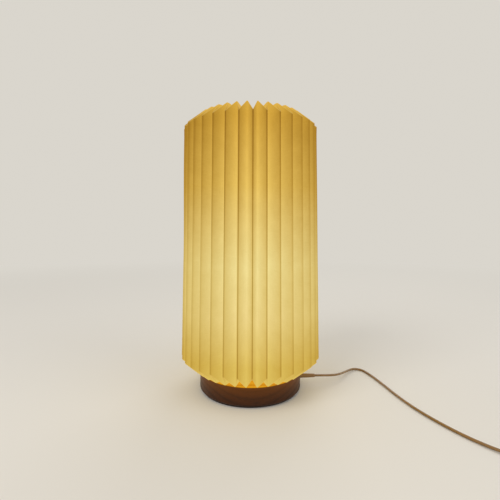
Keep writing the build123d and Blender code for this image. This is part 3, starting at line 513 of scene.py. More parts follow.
# ------------------------------------------------------------------ finishes
@dataclass(frozen=True)
class PaperFinish:
    """Cream paper with the bulb's light through it painted in as glow: painted shade along the outer
    folds, painted light in the inner ones.

    Each row of tones holds colours of 0 to 255 steps at the foot, at the lower and the upper end
    of the bulb's glow, above it and at the top.  The painted glow grows darker and warmer above the bulb.
    """

    name: str = "lit_paper"
    inside: bool = False
    pulp: Colour = screen_colour(106, 82, 26)
    daylight_share: float = 0.72
    ridge_radius: float = 89.6 * MM
    valley_radius: float = 68.0 * MM
    foot: float = 24.3 * MM
    top: float = 361.2 * MM
    foot_shoulder: float = 18.1 * MM
    top_shoulder: float = 18.9 * MM
    # A painted pale line of light along the slanted folds at both ends.
    fold_line: float = 0.9 * MM
    painted_fold_light_colour: Colour = screen_colour(236, 202, 112)
    painted_fold_light_share: float = 0.45
    # Painted shade along the outer folds: how far it reaches and how it fades where a fold is seen square on.
    crease_end: float = 0.14
    crease_seen_square: float = 0.3
    square_on: float = 0.1
    slanted: float = 0.55
    depth_curve: float = 0.9
    inside_share: float = 0.9
    mottle: float = 0.06
    fibre_tint: Colour = (0.94, 0.93, 0.88)
    fibre_relief: float = 0.12 * MM
    # Heights and colours of the painted glow: darker on the outer folds, brighter in the inner ones.
    tone_heights: tuple[float, ...] = (48 * MM, 102 * MM, 162 * MM, 258 * MM, 342 * MM)
    on_crease: Tones = ((168, 130, 41), (178, 146, 63), (179, 148, 62), (152, 110, 19), (135, 92, 2))
    by_crease: Tones = ((204, 169, 72), (217, 191, 109), (218, 192, 112), (195, 156, 65), (177, 134, 44))
    at_valley: Tones = ((225, 197, 99), (239, 217, 142), (241, 224, 150), (236, 201, 102), (220, 176, 71))

    def painted_glow(self, seen: Colour) -> Colour:
        """Painted glow for the bulb's light through the paper: the colour seen, less what daylight gives."""
        return less(seen, self.pulp, self.daylight_share)

    def tones(self, graph: Graph, height: Socket, tones: Tones) -> Socket:
        """Painted glow by height.

        Args:
            graph: The material's tree.
            height: Share of the shade's height.
            tones: Colours at the tones' heights.

        Returns:
            The colour of the glow.
        """
        reach = self.top - self.foot
        return graph.ramp(height, [((level - self.foot) / reach, self.painted_glow(screen_colour(*colour)))
                                   for level, colour in zip(self.tone_heights, tones)])

    def shoulder(self, graph: Graph, z: Socket, depth: Socket) -> Socket:
        """Mask of the painted pale line of light along the slanted folds at both ends.

        Args:
            graph: The material's tree.
            z: Height above the table.
            depth: Depth in the pleat, 0 on an outer fold and 1 on an inner one.

        Returns:
            The mask.
        """
        rise = graph.sum("SUBTRACT", 1.0, depth)
        upper = graph.sum("SUBTRACT", self.top, graph.sum("MULTIPLY", rise, self.top_shoulder))
        lower = graph.sum("MULTIPLY_ADD", rise, self.foot_shoulder, self.foot)
        near = graph.sum("MINIMUM", *(graph.sum("ABSOLUTE", graph.sum("SUBTRACT", z, line))
                                      for line in (upper, lower)))
        return graph.span(near, self.fold_line, 0.2 * self.fold_line, smooth=True)

    def glow(self, graph: Graph, vector: Socket, fibres: Wires) -> Socket:
        """Painted glow for the bulb's light through the paper, by height and by depth in the pleat.

        Args:
            graph: The material's tree.
            vector: Where a point lies in the lamp's frame.
            fibres: What the fibre effect puts out.

        Returns:
            The colour of the painted glow.
        """
        x, y, z = graph.parts(vector)
        height = graph.span(z, self.foot, self.top)
        by_crease = self.tones(graph, height, self.by_crease)
        at_valley = self.tones(graph, height, self.at_valley)
        # The inner side gets painted glow close to the inner folds' tone.
        if self.inside:
            return graph.mix(self.inside_share, by_crease, at_valley)
        depth = graph.span(graph.length(x, y), self.ridge_radius, self.valley_radius)
        mottle = graph.span(fibres["Tone"], 0.35, 0.68, -self.mottle, self.mottle)
        curved = graph.sum("ADD", graph.sum("POWER", depth, self.depth_curve), mottle, clamp=True)
        # Painted shade along the outer folds, stronger where the paper is seen slanted.
        facing = graph.node("ShaderNodeLayerWeight").outputs["Facing"]
        slant = graph.span(facing, self.square_on, self.slanted, self.crease_seen_square, 1.0)
        dark = graph.sum("MULTIPLY", graph.span(depth, self.crease_end, 0.0, smooth=True), slant)
        glow = graph.mix(curved, by_crease, at_valley)
        glow = graph.mix(dark, glow, self.tones(graph, height, self.on_crease))
        # Painted pale line of light along the slanted folds.
        line = graph.sum("MULTIPLY", self.shoulder(graph, z, depth), self.painted_fold_light_share)
        return graph.mix(line, glow, self.painted_glow(self.painted_fold_light_colour))

    def build(self, effects: Effects) -> bpy.types.Material:
        """Make the material.

        Args:
            effects: The shared node groups.

        Returns:
            The material.
        """
        material, graph, shader = new_material(self.name)
        vector = graph.place()
        fibres = effects.fibres.use(graph, vector, clouds=55.0, fibres=700.0)
        glow = self.glow(graph, vector, fibres)
        tint = graph.mix(graph.span(fibres["Tone"], 0.3, 0.7), self.fibre_tint, WHITE)
        graph.fill(shader, {
            "Emission Color": graph.mix(1.0, glow, tint, Blend.DARKEN),
            "Base Color": graph.mix(1.0, self.pulp, tint, Blend.DARKEN),
            "Roughness": graph.span(fibres["Height"], 0.3, 0.75, 0.96, 0.82),
            "Normal": graph.bump(fibres["Height"], self.fibre_relief, 0.6),
            "Emission Strength": 1.0, "Specular IOR Level": 0.12})
        return material


@dataclass(frozen=True)
class WoodFinish:
    """Dark oiled hardwood with growth rings and open pores, with a painted pool of light on its top
    and painted glow down its side from the lit shade above it.
    """

    name: str
    early: Colour = screen_colour(70, 34, 6)
    late: Colour = screen_colour(50, 23, 3)
    pore: Colour = screen_colour(27, 11, 2)
    worn: Colour = screen_colour(108, 64, 24)
    # Painted light from the bulb and the shade: the pool on the top, shade near the holder, glow down the
    # side.
    painted_light_pool: Colour = screen_colour(222, 156, 22)
    pool_dark: Colour = screen_colour(186, 116, 10)
    painted_side_glow: Colour = (0.085, 0.024, 0.0)
    painted_holder_shade: Colour = screen_colour(104, 56, 10)
    top: float = 23.8 * MM
    pool_edge: float = 0.7 * MM
    pool_full: float = 0.15 * MM
    spill_foot: float = 5.0 * MM
    spill_curve: float = 1.6
    shadow_radius: float = 24.0 * MM
    pool_radius: float = 52.0 * MM
    grain_relief: float = 0.14 * MM

    def build(self, effects: Effects) -> bpy.types.Material:
        """Make the material.

        Args:
            effects: The shared node groups.

        Returns:
            The material.
        """
        material, graph, shader = new_material(self.name)
        vector = graph.place()
        x, y, z = graph.parts(vector)
        grain = effects.timber.use(graph, vector, spacing=0.0034, pores=0.55)
        wear = effects.wear.use(graph, vector, width=0.9 * MM, amount=0.3)
        colour = graph.mix(graph.span(grain["Tone"], 0.1, 0.85), self.early, self.late)
        colour = graph.mix(grain["Pits"], colour, self.pore)
        colour = graph.mix(wear["Mask"], colour, self.worn)
        # Painted pool of the bulb's light on the top face, with painted shade near the holder.
        painted_light_pool = graph.mix(graph.span(grain["Tone"], 0.1, 0.9), self.painted_light_pool, self.pool_dark)
        out = graph.span(graph.length(x, y), self.shadow_radius, self.pool_radius, smooth=True)
        painted_light_pool = graph.mix(out, self.painted_holder_shade, painted_light_pool)
        # Painted glow of the shade's light down the side, brighter towards the top.
        down = graph.sum("POWER", graph.span(z, self.spill_foot, self.top), self.spill_curve)
        on_top = graph.span(z, self.top - self.pool_edge, self.top - self.pool_full)
        graph.fill(shader, {
            "Base Color": colour,
            "Roughness": graph.span(grain["Tone"], 0.0, 1.0, 0.40, 0.54),
            "Normal": graph.bump(grain["Height"], self.grain_relief, 0.7),
            "Emission Color": graph.mix(on_top, graph.mix(down, BLACK, self.painted_side_glow), painted_light_pool),
            "Emission Strength": 1.0, "Specular IOR Level": 0.22, "Coat Weight": 0.05,
            "Coat Roughness": 0.3})
        return material


@dataclass(frozen=True)
class MouldedFinish:
    """Moulded plastic, rubber or glass-like enamel."""

    name: str
    colour: Colour
    roughness: float = 0.4
    coat: float = 0.0
    peel: float = 1400.0
    peel_depth: float = 0.03 * MM
    wear: float = 0.15
    glow: Colour | None = None
    deepened: float = 0.86
    dimmed: float = 0.94
    worn_gain: float = 1.25
    worn_lift: float = 0.02

    def build(self, effects: Effects) -> bpy.types.Material:
        """Make the material.

        Args:
            effects: The shared node groups.

        Returns:
            The material.
        """
        material, graph, shader = new_material(self.name)
        vector = graph.place()
        grain = effects.moulding.use(graph, vector, peel=self.peel, flow=70.0)
        worn = effects.wear.use(graph, vector, width=0.4 * MM, amount=self.wear)
        pale = tuple(min(1.0, self.worn_gain * part + self.worn_lift) for part in self.colour)
        deep = times(self.colour, self.deepened)
        colour = graph.mix(graph.span(grain["Tone"], 0.35, 0.65), deep, self.colour)
        graph.fill(shader, {
            "Base Color": graph.mix(worn["Mask"], colour, pale),
            "Roughness": graph.span(grain["Tone"], 0.3, 0.7, self.roughness - 0.05, self.roughness + 0.07),
            "Normal": graph.bump(grain["Height"], self.peel_depth),
            "Coat Weight": self.coat})
        if self.glow:
            lit = graph.mix(graph.span(grain["Tone"], 0.3, 0.7), times(self.glow, self.dimmed), self.glow)
            graph.fill(shader, {"Emission Color": lit, "Emission Strength": 1.0})
        return material


@dataclass(frozen=True)
class MetalFinish:
    """Turned, rolled or drawn metal with fine marks and a little tarnish."""

    name: str
    colour: Colour
    tarnish: Colour
    roughness: float = 0.3
    marks: float = 2600.0
    mark_depth: float = 0.01 * MM

    def build(self, effects: Effects) -> bpy.types.Material:
        """Make the material.

        Args:
            effects: The shared node groups.

        Returns:
            The material.
        """
        material, graph, shader = new_material(self.name)
        marks = effects.turning.use(graph, graph.place(), marks=self.marks, stain=110.0)
        stained = graph.span(marks["Stain"], 0.5, 0.72, 0.0, 0.7)
        graph.fill(shader, {
            "Base Color": graph.mix(stained, self.colour, self.tarnish),
            "Roughness": graph.span(marks["Tone"], 0.25, 0.75, self.roughness - 0.08, self.roughness + 0.1),
            "Normal": graph.bump(marks["Height"], self.mark_depth, 0.5),
            "Metallic": 1.0})
        return material


@dataclass(frozen=True)
class FeltFinish:
    """Pressed wool felt."""

    name: str
    colour: Colour = screen_colour(34, 24, 18)
    lint: Colour = screen_colour(78, 62, 50)
    fibre_relief: float = 0.3 * MM

    def build(self, effects: Effects) -> bpy.types.Material:
        """Make the material.

        Args:
            effects: The shared node groups.

        Returns:
            The material.
        """
        material, graph, shader = new_material(self.name)
        fibres = effects.fibres.use(graph, graph.place(), clouds=240.0, fibres=2400.0)
        graph.fill(shader, {
            "Base Color": graph.mix(graph.span(fibres["Height"], 0.5, 0.8), self.colour, self.lint),
            "Normal": graph.bump(fibres["Height"], self.fibre_relief),
            "Roughness": 0.95, "Sheen Weight": 0.3})
        return material


@dataclass(frozen=True)
class BoardFinish:
    """Green circuit board with a grid of copper tracks."""

    name: str
    colour: Colour = screen_colour(22, 92, 48)
    track: Colour = screen_colour(48, 128, 66)
    stain: Colour = screen_colour(15, 70, 36)
    tracks_in_metre: float = 420.0
    track_width: float = 0.06
    track_relief: float = 0.05 * MM

    def build(self, effects: Effects) -> bpy.types.Material:
        """Make the material.

        Args:
            effects: The shared node groups.

        Returns:
            The material.
        """
        material, graph, shader = new_material(self.name)
        vector = graph.place()
        brick = graph.node("ShaderNodeTexBrick", offset=0.5, squash=1.0)
        graph.fill(brick, {"Vector": graph.stretched(vector, (self.tracks_in_metre,) * 3),
                           "Mortar Size": self.track_width})
        grain = effects.moulding.use(graph, vector, peel=900.0, flow=160.0)
        tracks = graph.mix(brick.outputs["Fac"], self.colour, self.track)
        graph.fill(shader, {
            "Base Color": graph.mix(graph.span(grain["Tone"], 0.4, 0.7, 0.0, 0.4), tracks, self.stain),
            "Roughness": graph.span(grain["Height"], 0.3, 0.7, 0.3, 0.42),
            "Normal": graph.bump(brick.outputs["Fac"], self.track_relief)})
        return material


Finish = PaperFinish | WoodFinish | MouldedFinish | MetalFinish | FeltFinish | BoardFinish


@dataclass
class Finishes:
    """Every material of the lamp, by what it is made of."""

    effects: Effects

    def __post_init__(self) -> None:
        """Build the materials."""
        moulded, metal = MouldedFinish, MetalFinish

        def make(finish: Finish) -> bpy.types.Material:
            """Build one finish."""
            return finish.build(self.effects)

        self.paper = make(PaperFinish())
        self.paper_inside = make(PaperFinish("lit_paper_inside", inside=True))
        self.glue = make(moulded("dried_glue", screen_colour(206, 188, 140), roughness=0.35, peel=500.0))
        self.walnut = make(WoodFinish("oiled_wood"))
        self.felt = make(FeltFinish("pressed_felt"))
        self.zinc = make(metal("zinc_steel", (0.52, 0.52, 0.50), (0.30, 0.30, 0.28), roughness=0.38))
        self.brass = make(metal("drawn_brass", (0.76, 0.53, 0.22), (0.36, 0.22, 0.08)))
        self.nickel = make(metal("rolled_nickel", (0.66, 0.64, 0.60), (0.42, 0.40, 0.36), roughness=0.26,
                                 marks=3400.0))
        self.plate = make(metal("white_board", (0.80, 0.80, 0.79), (0.62, 0.62, 0.60), roughness=0.5))
        self.white_coat = make(moulded("white_powder_coat", (0.74, 0.72, 0.66), roughness=0.45, peel=2600.0,
                                       peel_depth=0.05 * MM))
        self.holder = make(moulded("white_holder_plastic", (0.76, 0.74, 0.68), roughness=0.42))
        self.ceramic = make(moulded("white_ceramic", (0.72, 0.70, 0.64), roughness=0.7, peel=700.0))
        self.bulb_white = make(moulded("white_bulb_plastic", (0.78, 0.78, 0.75), roughness=0.32, coat=0.2))
        self.frosted = make(moulded("frosted_bulb", (0.60, 0.55, 0.44), roughness=0.5, peel=3000.0,
                                    glow=(0.94, 0.74, 0.42)))
        self.chips = make(moulded("light_chips", (0.70, 0.55, 0.12), roughness=0.3, glow=(1.0, 0.82, 0.42)))
        self.bulb_black = make(moulded("black_glass", (0.012, 0.012, 0.014), roughness=0.12, coat=0.6))
        self.board = make(BoardFinish("circuit_board"))
        self.driver = make(moulded("dark_resin", (0.025, 0.025, 0.028), roughness=0.38))
        self.cord = make(moulded("amber_brown_lead", screen_colour(138, 100, 42), roughness=0.26, coat=0.5,
                                 peel=1800.0, wear=0.0))
        self.relief = make(moulded("amber_relief", screen_colour(146, 106, 46), roughness=0.32, coat=0.4))
        self.case = make(moulded("brown_case", screen_colour(92, 62, 30), roughness=0.34, coat=0.3,
                                 peel=1100.0, peel_depth=0.05 * MM))
        self.rocker = make(moulded("dark_brown_rocker", screen_colour(58, 38, 20), roughness=0.28, coat=0.3))
        self.brown_wire = make(moulded("brown_insulation", screen_colour(96, 52, 28)))
        self.blue_wire = make(moulded("blue_insulation", screen_colour(38, 84, 156)))
        self.sleeve = make(moulded("black_sleeve", (0.015, 0.015, 0.016)))
        self.tie = make(moulded("dark_rubber", (0.03, 0.026, 0.022), roughness=0.6, peel=900.0))


# ------------------------------------------------------------------ shared making
def wobble(x: float, y: float, z: float) -> float:
    """Smooth unevenness at a place, the same in each run."""
    return noise.noise(Vector((x, y, z)))


def in_scene(name: str, data: bpy.types.ID) -> bpy.types.Object:
    """Make an object of its data and put it in the scene.

    Args:
        name: The object's name.
        data: Its mesh, curve, camera or light.

    Returns:
        The object.
    """
    made = bpy.data.objects.new(name, data)
    bpy.context.scene.collection.objects.link(made)
    return made


def dress(frame: dict, coats: dict[str, bpy.types.Material]) -> list[str]:
    """Give CAD nodes their materials.

    Args:
        frame: The loaded frame.
        coats: Material of each node, by the node's name.

    Returns:
        The names of the dressed nodes.
    """
    for node, material in coats.items():
        mesh = frame["nodes"][node].data
        if mesh.materials:
            mesh.materials[0] = material
        else:
            mesh.materials.append(material)
    return list(coats)


def piece_of(name: str, mesh: bpy.types.Mesh, body: Body,
             *materials: bpy.types.Material) -> bpy.types.Object:
    """Turn a mesh into a piece that rides on a body.

    Args:
        name: The piece's name.
        mesh: Its mesh.
        body: The body that it moves with.
        *materials: Its materials, in slot order.

    Returns:
        The new object.
    """
    made = in_scene(name, mesh)
    for material in materials:
        mesh.materials.append(material)
    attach(made, body.value)
    return made


def smooth_mesh(name: str, points: Sequence[Vector], faces: Sequence[Sequence[int]],
                slots: Sequence[int] | None = None, sharp_over: float = 40.0) -> bpy.types.Mesh:
    """Build a closed mesh that is smooth but for its sharp edges.

    Args:
        name: The mesh's name.
        points: Its points.
        faces: Corner numbers of each face.
        slots: Material slot of each face.
        sharp_over: Edges that turn by more degrees than this stay sharp.

    Returns:
        The mesh.
    """
    mesh = bpy.data.meshes.new(name)
    mesh.from_pydata([tuple(point) for point in points], [], [tuple(face) for face in faces])
    if slots is not None:
        mesh.polygons.foreach_set("material_index", slots)
    work = bmesh.new()
    work.from_mesh(mesh)
    bmesh.ops.recalc_face_normals(work, faces=work.faces)
    for edge in work.edges:
        edge.smooth = edge.calc_face_angle(0.0) < math.radians(sharp_over)
    for face in work.faces:
        face.smooth = True
    work.to_mesh(mesh)
    work.free()
    return mesh


def turned_mesh(name: str, outline: Sequence[Corner], around: int,
                swell: Callable[[float, float, float], float] | None = None) -> bpy.types.Mesh:
    """Turn an outline of (radius, height) about Z into a closed mesh.

    Args:
        name: The mesh's name.
        outline: Points from the lower end on the axis to the upper one, in metres.
        around: Steps round the axis.
        swell: What is added to the radius at a radius, a height and an angle.

    Returns:
        The mesh.
    """
    points: list[Vector] = []
    for step in range(around):
        angle = 2 * math.pi * step / around
        for radius, height in outline:
            grown = radius + (swell(radius, height, angle) if swell else 0.0)
            points.append(Vector((grown * math.cos(angle), grown * math.sin(angle), height)))
    rows = len(outline)
    sides = [(step * rows, (step + 1) % around * rows) for step in range(around)]
    faces = [(here + row, after + row, after + row + 1, here + row + 1)
             for here, after in sides for row in range(rows - 1)]
    faces.append([step * rows for step in reversed(range(around))])
    faces.append([step * rows + rows - 1 for step in range(around)])
    return smooth_mesh(name, points, faces)


def unit_ball(around: int, rows: int) -> tuple[list[Vector], list[tuple[int, ...]]]:
    """Lay out a ball of radius 1, with a point at each pole and rings of points between.

    Args:
        around: Points in each ring.
        rows: Rows of faces from pole to pole.

    Returns:
        Its points, and the corner numbers of each face.
    """
    points = [Vector((0.0, 0.0, 1.0)), Vector((0.0, 0.0, -1.0))]
    for row in range(1, rows):
        polar = math.pi * row / rows
        for step in range(around):
            turn = 2 * math.pi * step / around
            points.append(Vector((math.sin(polar) * math.sin(turn), math.sin(polar) * math.cos(turn),
                                  math.cos(polar))))

    def corner(row: int, step: int) -> int:
        """Number of a ring's point, counted on past the ring's end."""
        return 2 + (row - 1) * around + step % around

    faces: list[tuple[int, ...]] = []
    for step in range(around):
        faces.append((0, corner(1, step), corner(1, step + 1)))
        faces += [(corner(row, step), corner(row + 1, step), corner(row + 1, step + 1), corner(row, step + 1))
                  for row in range(1, rows - 1)]
        faces.append((1, corner(rows - 1, step + 1), corner(rows - 1, step)))
    return points, faces


# ------------------------------------------------------------------ camera and studio
@dataclass
class PhotographCamera:
    """Where the photograph was taken from."""

    eye: Point = (0.0, -488.74 * MM, 198.1 * MM)
    pitch_up: float = 3.938
    yaw: float = 0.044
    roll: float = 0.206
    focal_pixels: float = 357.42
    frame_pixels: float = 500.0
    centre_pixel: tuple[float, float] = (250.0, 210.42)
    sensor: float = 36.0
    nearest: float = 10 * MM

    def place(self) -> None:
        """Set the camera up and make it the scene's."""
        data = bpy.data.cameras.new("photograph_camera")
        data.sensor_width = self.sensor
        data.lens = self.focal_pixels * self.sensor / self.frame_pixels
        middle = (self.frame_pixels - 1) / 2
        data.shift_x = (middle - self.centre_pixel[0]) / self.frame_pixels
        data.shift_y = (self.centre_pixel[1] - middle) / self.frame_pixels
        data.clip_start = self.nearest
        camera = in_scene("photograph_camera", data)
        turn = Matrix.Rotation(math.radians(self.yaw), 4, "Z")
        turn @= Matrix.Rotation(math.radians(90 + self.pitch_up), 4, "X")
        turn @= Matrix.Rotation(math.radians(self.roll), 4, "Z")
        camera.matrix_world = Matrix.Translation(self.eye) @ turn
        bpy.context.scene.camera = camera


@dataclass(frozen=True)
class SoftLamp:
    """A square soft lamp that faces the middle of the shade."""

    name: str
    place: Point
    size: float
    power: float
    aim: Point = (0.0, 0.0, 0.15)

    def hang(self) -> None:
        """Put the lamp in the scene."""
        data = bpy.data.lights.new(self.name, "AREA")
        data.size = self.size
        data.energy = self.power
        lamp = in_scene(self.name, data)
        lamp.location = self.place
        lamp.rotation_euler = (Vector(self.aim) - lamp.location).to_track_quat("-Z", "Y").to_euler()


@dataclass
class Studio:
    """A plain pale floor that fades into a pale surround, under soft light."""

    surround: Colour = (0.70, 0.67, 0.61)
    floor_colour: Colour = (0.78, 0.75, 0.69)
    floor_radius: float = 9.0
    floor_sides: int = 96
    floor_drop: float = 0.2 * MM
    floor_mottle: float = 0.985
    floor_grain: float = 900.0
    fade_start: float = 0.15
    fade_end: float = 2.4
    sky_colour: Colour = (1.0, 0.98, 0.95)
    sky_strength: float = 0.62
    lamps: tuple[SoftLamp, ...] = (
        SoftLamp("key_light", (-1.1, -1.3, 1.7), 1.1, 16.0),
        SoftLamp("fill_light", (1.4, -0.9, 1.1), 1.3, 6.0),
        SoftLamp("back_light", (0.5, 1.6, 1.5), 1.2, 6.0))

    def build(self) -> None:
        """Set up the view, the floor, the world and the lamps."""
        bpy.context.scene.view_settings.view_transform = "Standard"
        self.make_floor()
        self.make_world()
        for lamp in self.lamps:
            lamp.hang()

    @staticmethod
    def seen(graph: Graph) -> Socket:
        """Mask of the rays that the lens, gloss and glass send out.

        Args:
            graph: The tree that uses the mask.

        Returns:
            The mask.
        """
        path = graph.node("ShaderNodeLightPath")
        seen = graph.sum("MAXIMUM", path.outputs["Is Camera Ray"], path.outputs["Is Glossy Ray"])
        return graph.sum("MAXIMUM", seen, path.outputs["Is Transmission Ray"])

    def make_floor(self) -> None:
        """A wide disc with the lamp's shadow, plain far away and see-through from below."""
        mesh = bpy.data.meshes.new("studio_floor")
        work = bmesh.new()
        bmesh.ops.create_circle(work, cap_ends=True, segments=self.floor_sides, radius=self.floor_radius)
        work.to_mesh(mesh)
        work.free()
        floor = in_scene("studio_floor", mesh)
        floor.location.z = -self.floor_drop
        material, graph, shader = new_material("pale_floor")
        away = graph.length(*graph.parts(graph.place())[:2])
        plain_share = graph.span(away, self.fade_start, self.fade_end, smooth=True)
        grain = graph.clouds(graph.place(), self.floor_grain, detail=2.0)
        tint = graph.mix(grain, times(self.floor_colour, self.floor_mottle), self.floor_colour)
        graph.fill(shader, {"Base Color": tint, "Roughness": 0.8, "Specular IOR Level": 0.15})
        lit = shader.outputs[0]
        glow = graph.fill(graph.node("ShaderNodeEmission"), {"Color": self.surround})
        above = graph.cover(plain_share, lit, graph.cover(self.seen(graph), lit, glow))
        from_below = graph.node("ShaderNodeNewGeometry").outputs["Backfacing"]
        clear = graph.node("ShaderNodeBsdfTransparent").outputs[0]
        surface = material.node_tree.nodes["Material Output"].inputs["Surface"]
        graph.feed(surface, graph.cover(from_below, above, clear))
        mesh.materials.append(material)

    def make_world(self) -> None:
        """Even light from all sides, with a plain pale surround behind the lamp."""
        world = bpy.data.worlds.new("soft_studio")
        bpy.context.scene.world = world
        world.use_nodes = True
        graph = Graph(world.node_tree)
        sky = graph.fill(world.node_tree.nodes["Background"],
                         {"Color": self.sky_colour, "Strength": self.sky_strength})
        plain = graph.fill(graph.node("ShaderNodeBackground"), {"Color": self.surround})
        surface = world.node_tree.nodes["World Output"].inputs["Surface"]
        graph.feed(surface, graph.cover(self.seen(graph), sky, plain))


# ------------------------------------------------------------------ cords and what is on them
@dataclass
class SpareCoil:
    """The wound spare length: half turns in layers, with a climb between layers, in millimetres."""

    centre: Point = (328.0, -122.0, 0.0)
    inner_radius: float = 13.0
    step: float = 4.1
    layer_step: float = 3.6
    half_turns: tuple[int, ...] = (5, 5, 5, 4)
    lowest: float = 2.5
    lead_in: float = 3.0
    points_in_half_turn: int = 8

    @property
    def outer_radius(self) -> float:
        """Radius at which the winding starts."""
        return self.inner_radius + self.step * self.half_turns[0] / 2

    @property
    def start(self) -> Point:
        """Where the cord enters the winding."""
        return self.centre[0] + self.outer_radius, self.centre[1] - self.lead_in, self.lowest

    @property
    def end(self) -> Point:
        """Where the cord leaves the winding."""
        radius = self.inner_radius + self.step * self.half_turns[-1] / 2
        top = self.lowest + self.layer_step * (len(self.half_turns) - 1)
        return self.centre[0] + radius, self.centre[1] + self.lead_in, top

    def turns(self) -> list[Point]:
        """Wind the cord up.

        Returns:
            Control points of the winding in order.
        """
        radius, height, angle = self.outer_radius, self.lowest, 0.0
        points: list[Point] = []

        def sweep(drift: float, climb: float) -> None:
            """Add one half turn that changes radius and height evenly.

            Args:
                drift: Change of the radius.
                climb: Change of the height.
            """
            nonlocal radius, height, angle
            for step in range(self.points_in_half_turn):
                share = step / self.points_in_half_turn
                turn = angle + math.pi * share
                reach = (radius + drift * share) * self.overshoot()
                points.append((self.centre[0] + reach * math.cos(turn),
                               self.centre[1] + reach * math.sin(turn), height + climb * share))
            radius += drift
            height += climb
            angle += math.pi

        for layer, count in enumerate(self.half_turns):
            drift = -self.step / 2 if layer % 2 == 0 else self.step / 2
            if layer:
                sweep(0.0, self.layer_step)
            for _ in range(count):
                sweep(drift, 0.0)
        reach = radius * self.overshoot()
        points.append((self.centre[0] + reach, self.centre[1], height))
        return points

    def overshoot(self) -> float:
        """How much further out a spline's control points lie than its line."""
        return 2 / (1 + math.cos(math.pi / self.points_in_half_turn))


@dataclass
class Leads:
    """The lamp's lead in two lengths, with the switch between them and the plug at the end."""

    frame: dict
    finishes: Finishes
    diameter: float = 3.0
    exit_angle: float = 2.0
    exit_radius: float = 86.0
    exit_height: float = 12.0
    switch_half: float = 29.0
    switch_place: Point = (291.0, -163.0, 6.44)
    coil: SpareCoil = field(default_factory=SpareCoil)

    def exit_point(self, out: float = 0.0) -> Point:
        """A point on the exit's axis, in millimetres.

        Args:
            out: Distance outside the relief's mouth.

        Returns:
            The point.
        """
        angle = math.radians(self.exit_angle)
        reach = self.exit_radius + out
        return reach * math.cos(angle), reach * math.sin(angle), self.exit_height

    def lamp_route(self) -> list[Point]:
        """Lead the cord from the relief along the table to the switch.

        Returns:
            Its control points, in millimetres.
        """
        x, y, z = self.switch_place
        return [
            self.exit_point(),
            self.exit_point(11.0),
            (109.0, 7.4, 10.6),
            (119.5, 15.5, 8.4),
            (129.0, 27.0, 6.2),
            (139.0, 40.5, 4.0),
            (150.5, 53.4, 2.4),
            (158.8, 54.8, 1.7),
            (165.5, 49.6, 1.5),
            (169.2, 37.0, 1.5),
            (173.0, 20.0, 1.5),
            (177.0, -3.0, 1.5),
            (181.0, -32.0, 1.5),
            (188.0, -64.0, 1.5),
            (199.0, -95.0, 1.5),
            (213.0, -124.0, 1.5),
            (229.0, -147.0, 1.9),
            (240.0, -158.5, 3.6),
            (x - self.switch_half - 10.0, y, z),
            (x - self.switch_half, y, z),
        ]

    def plug_route(self) -> list[Point]:
        """Lead the cord from the switch through the winding to the plug.

        Returns:
            Its control points, in millimetres.
        """
        x, y, z = self.switch_place
        start = self.coil.start
        end = self.coil.end
        neck = (end[0] + 5.0, end[1] + 33.0, 6.85)
        return [
            (x + self.switch_half, y, z),
            (x + self.switch_half + 9.0, y, z),
            (340.5, -160.0, 4.2),
            (348.0, -152.0, 2.7),
            (start[0], start[1] - 13.0, start[2]),
            start,
            *self.coil.turns(),
            end,
            (end[0], end[1] + 7.0, end[2]),
            (end[0] + 2.1, end[1] + 16.5, end[2] - 3.2),
            (neck[0], neck[1] - 7.5, neck[2]),
            neck,
        ]

    def draw(self, name: str, route: Sequence[Point], *nodes: str) -> bpy.types.Object:
        """Lay a lead along a route and let it stand for its CAD nodes.

        Args:
            name: The piece's name.
            route: Control points, in millimetres.
            *nodes: The CAD nodes that it replaces.

        Returns:
            The curve.
        """
        curve = bpy.data.curves.new(name, "CURVE")
        curve.dimensions = "3D"
        spline = curve.splines.new("NURBS")
        spline.points.add(len(route) - 1)
        for point, (x, y, z) in zip(spline.points, route):
            point.co = (x * MM, y * MM, z * MM, 1.0)
        spline.order_u = 3
        spline.use_endpoint_u = True
        spline.resolution_u = 6
        curve.bevel_depth = self.diameter * MM / 2
        curve.bevel_resolution = 4
        curve.use_fill_caps = True
        curve.materials.append(self.finishes.cord)
        made = in_scene(name, curve)
        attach(made, Body.BASE.value)
        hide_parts(*nodes)
        return made

    def build(self) -> list[str]:
        """Returns:
            The names of the pieces.
        """
        lamp_lead = self.draw("lead_to_switch", self.lamp_route(), "lamp_cord")
        plug_lead = self.draw("lead_to_plug", self.plug_route(), "coil_cord", "cord_coil", "plug_cord")
        self.metres(self.plug_route()[0])
        coats = self.finishes
        return [lamp_lead.name, plug_lead.name, *dress(self.frame, {
            "strain_relief": coats.relief, "inner_lead": coats.cord, "cord_ties": coats.tie,
            "switch_lower_case": coats.case, "switch_upper_case": coats.case,
            "switch_rocker": coats.rocker, "switch_screws": coats.zinc,
            "switch_contacts": coats.brass, "switch_wires": coats.brown_wire,
            "plug_body": coats.case, "plug_pins": coats.nickel, "pin_sleeves": coats.sleeve,
        })]

    @staticmethod
    def metres(point: Point) -> Point:
        """A point in metres."""
        x, y, z = point
        return x * MM, y * MM, z * MM


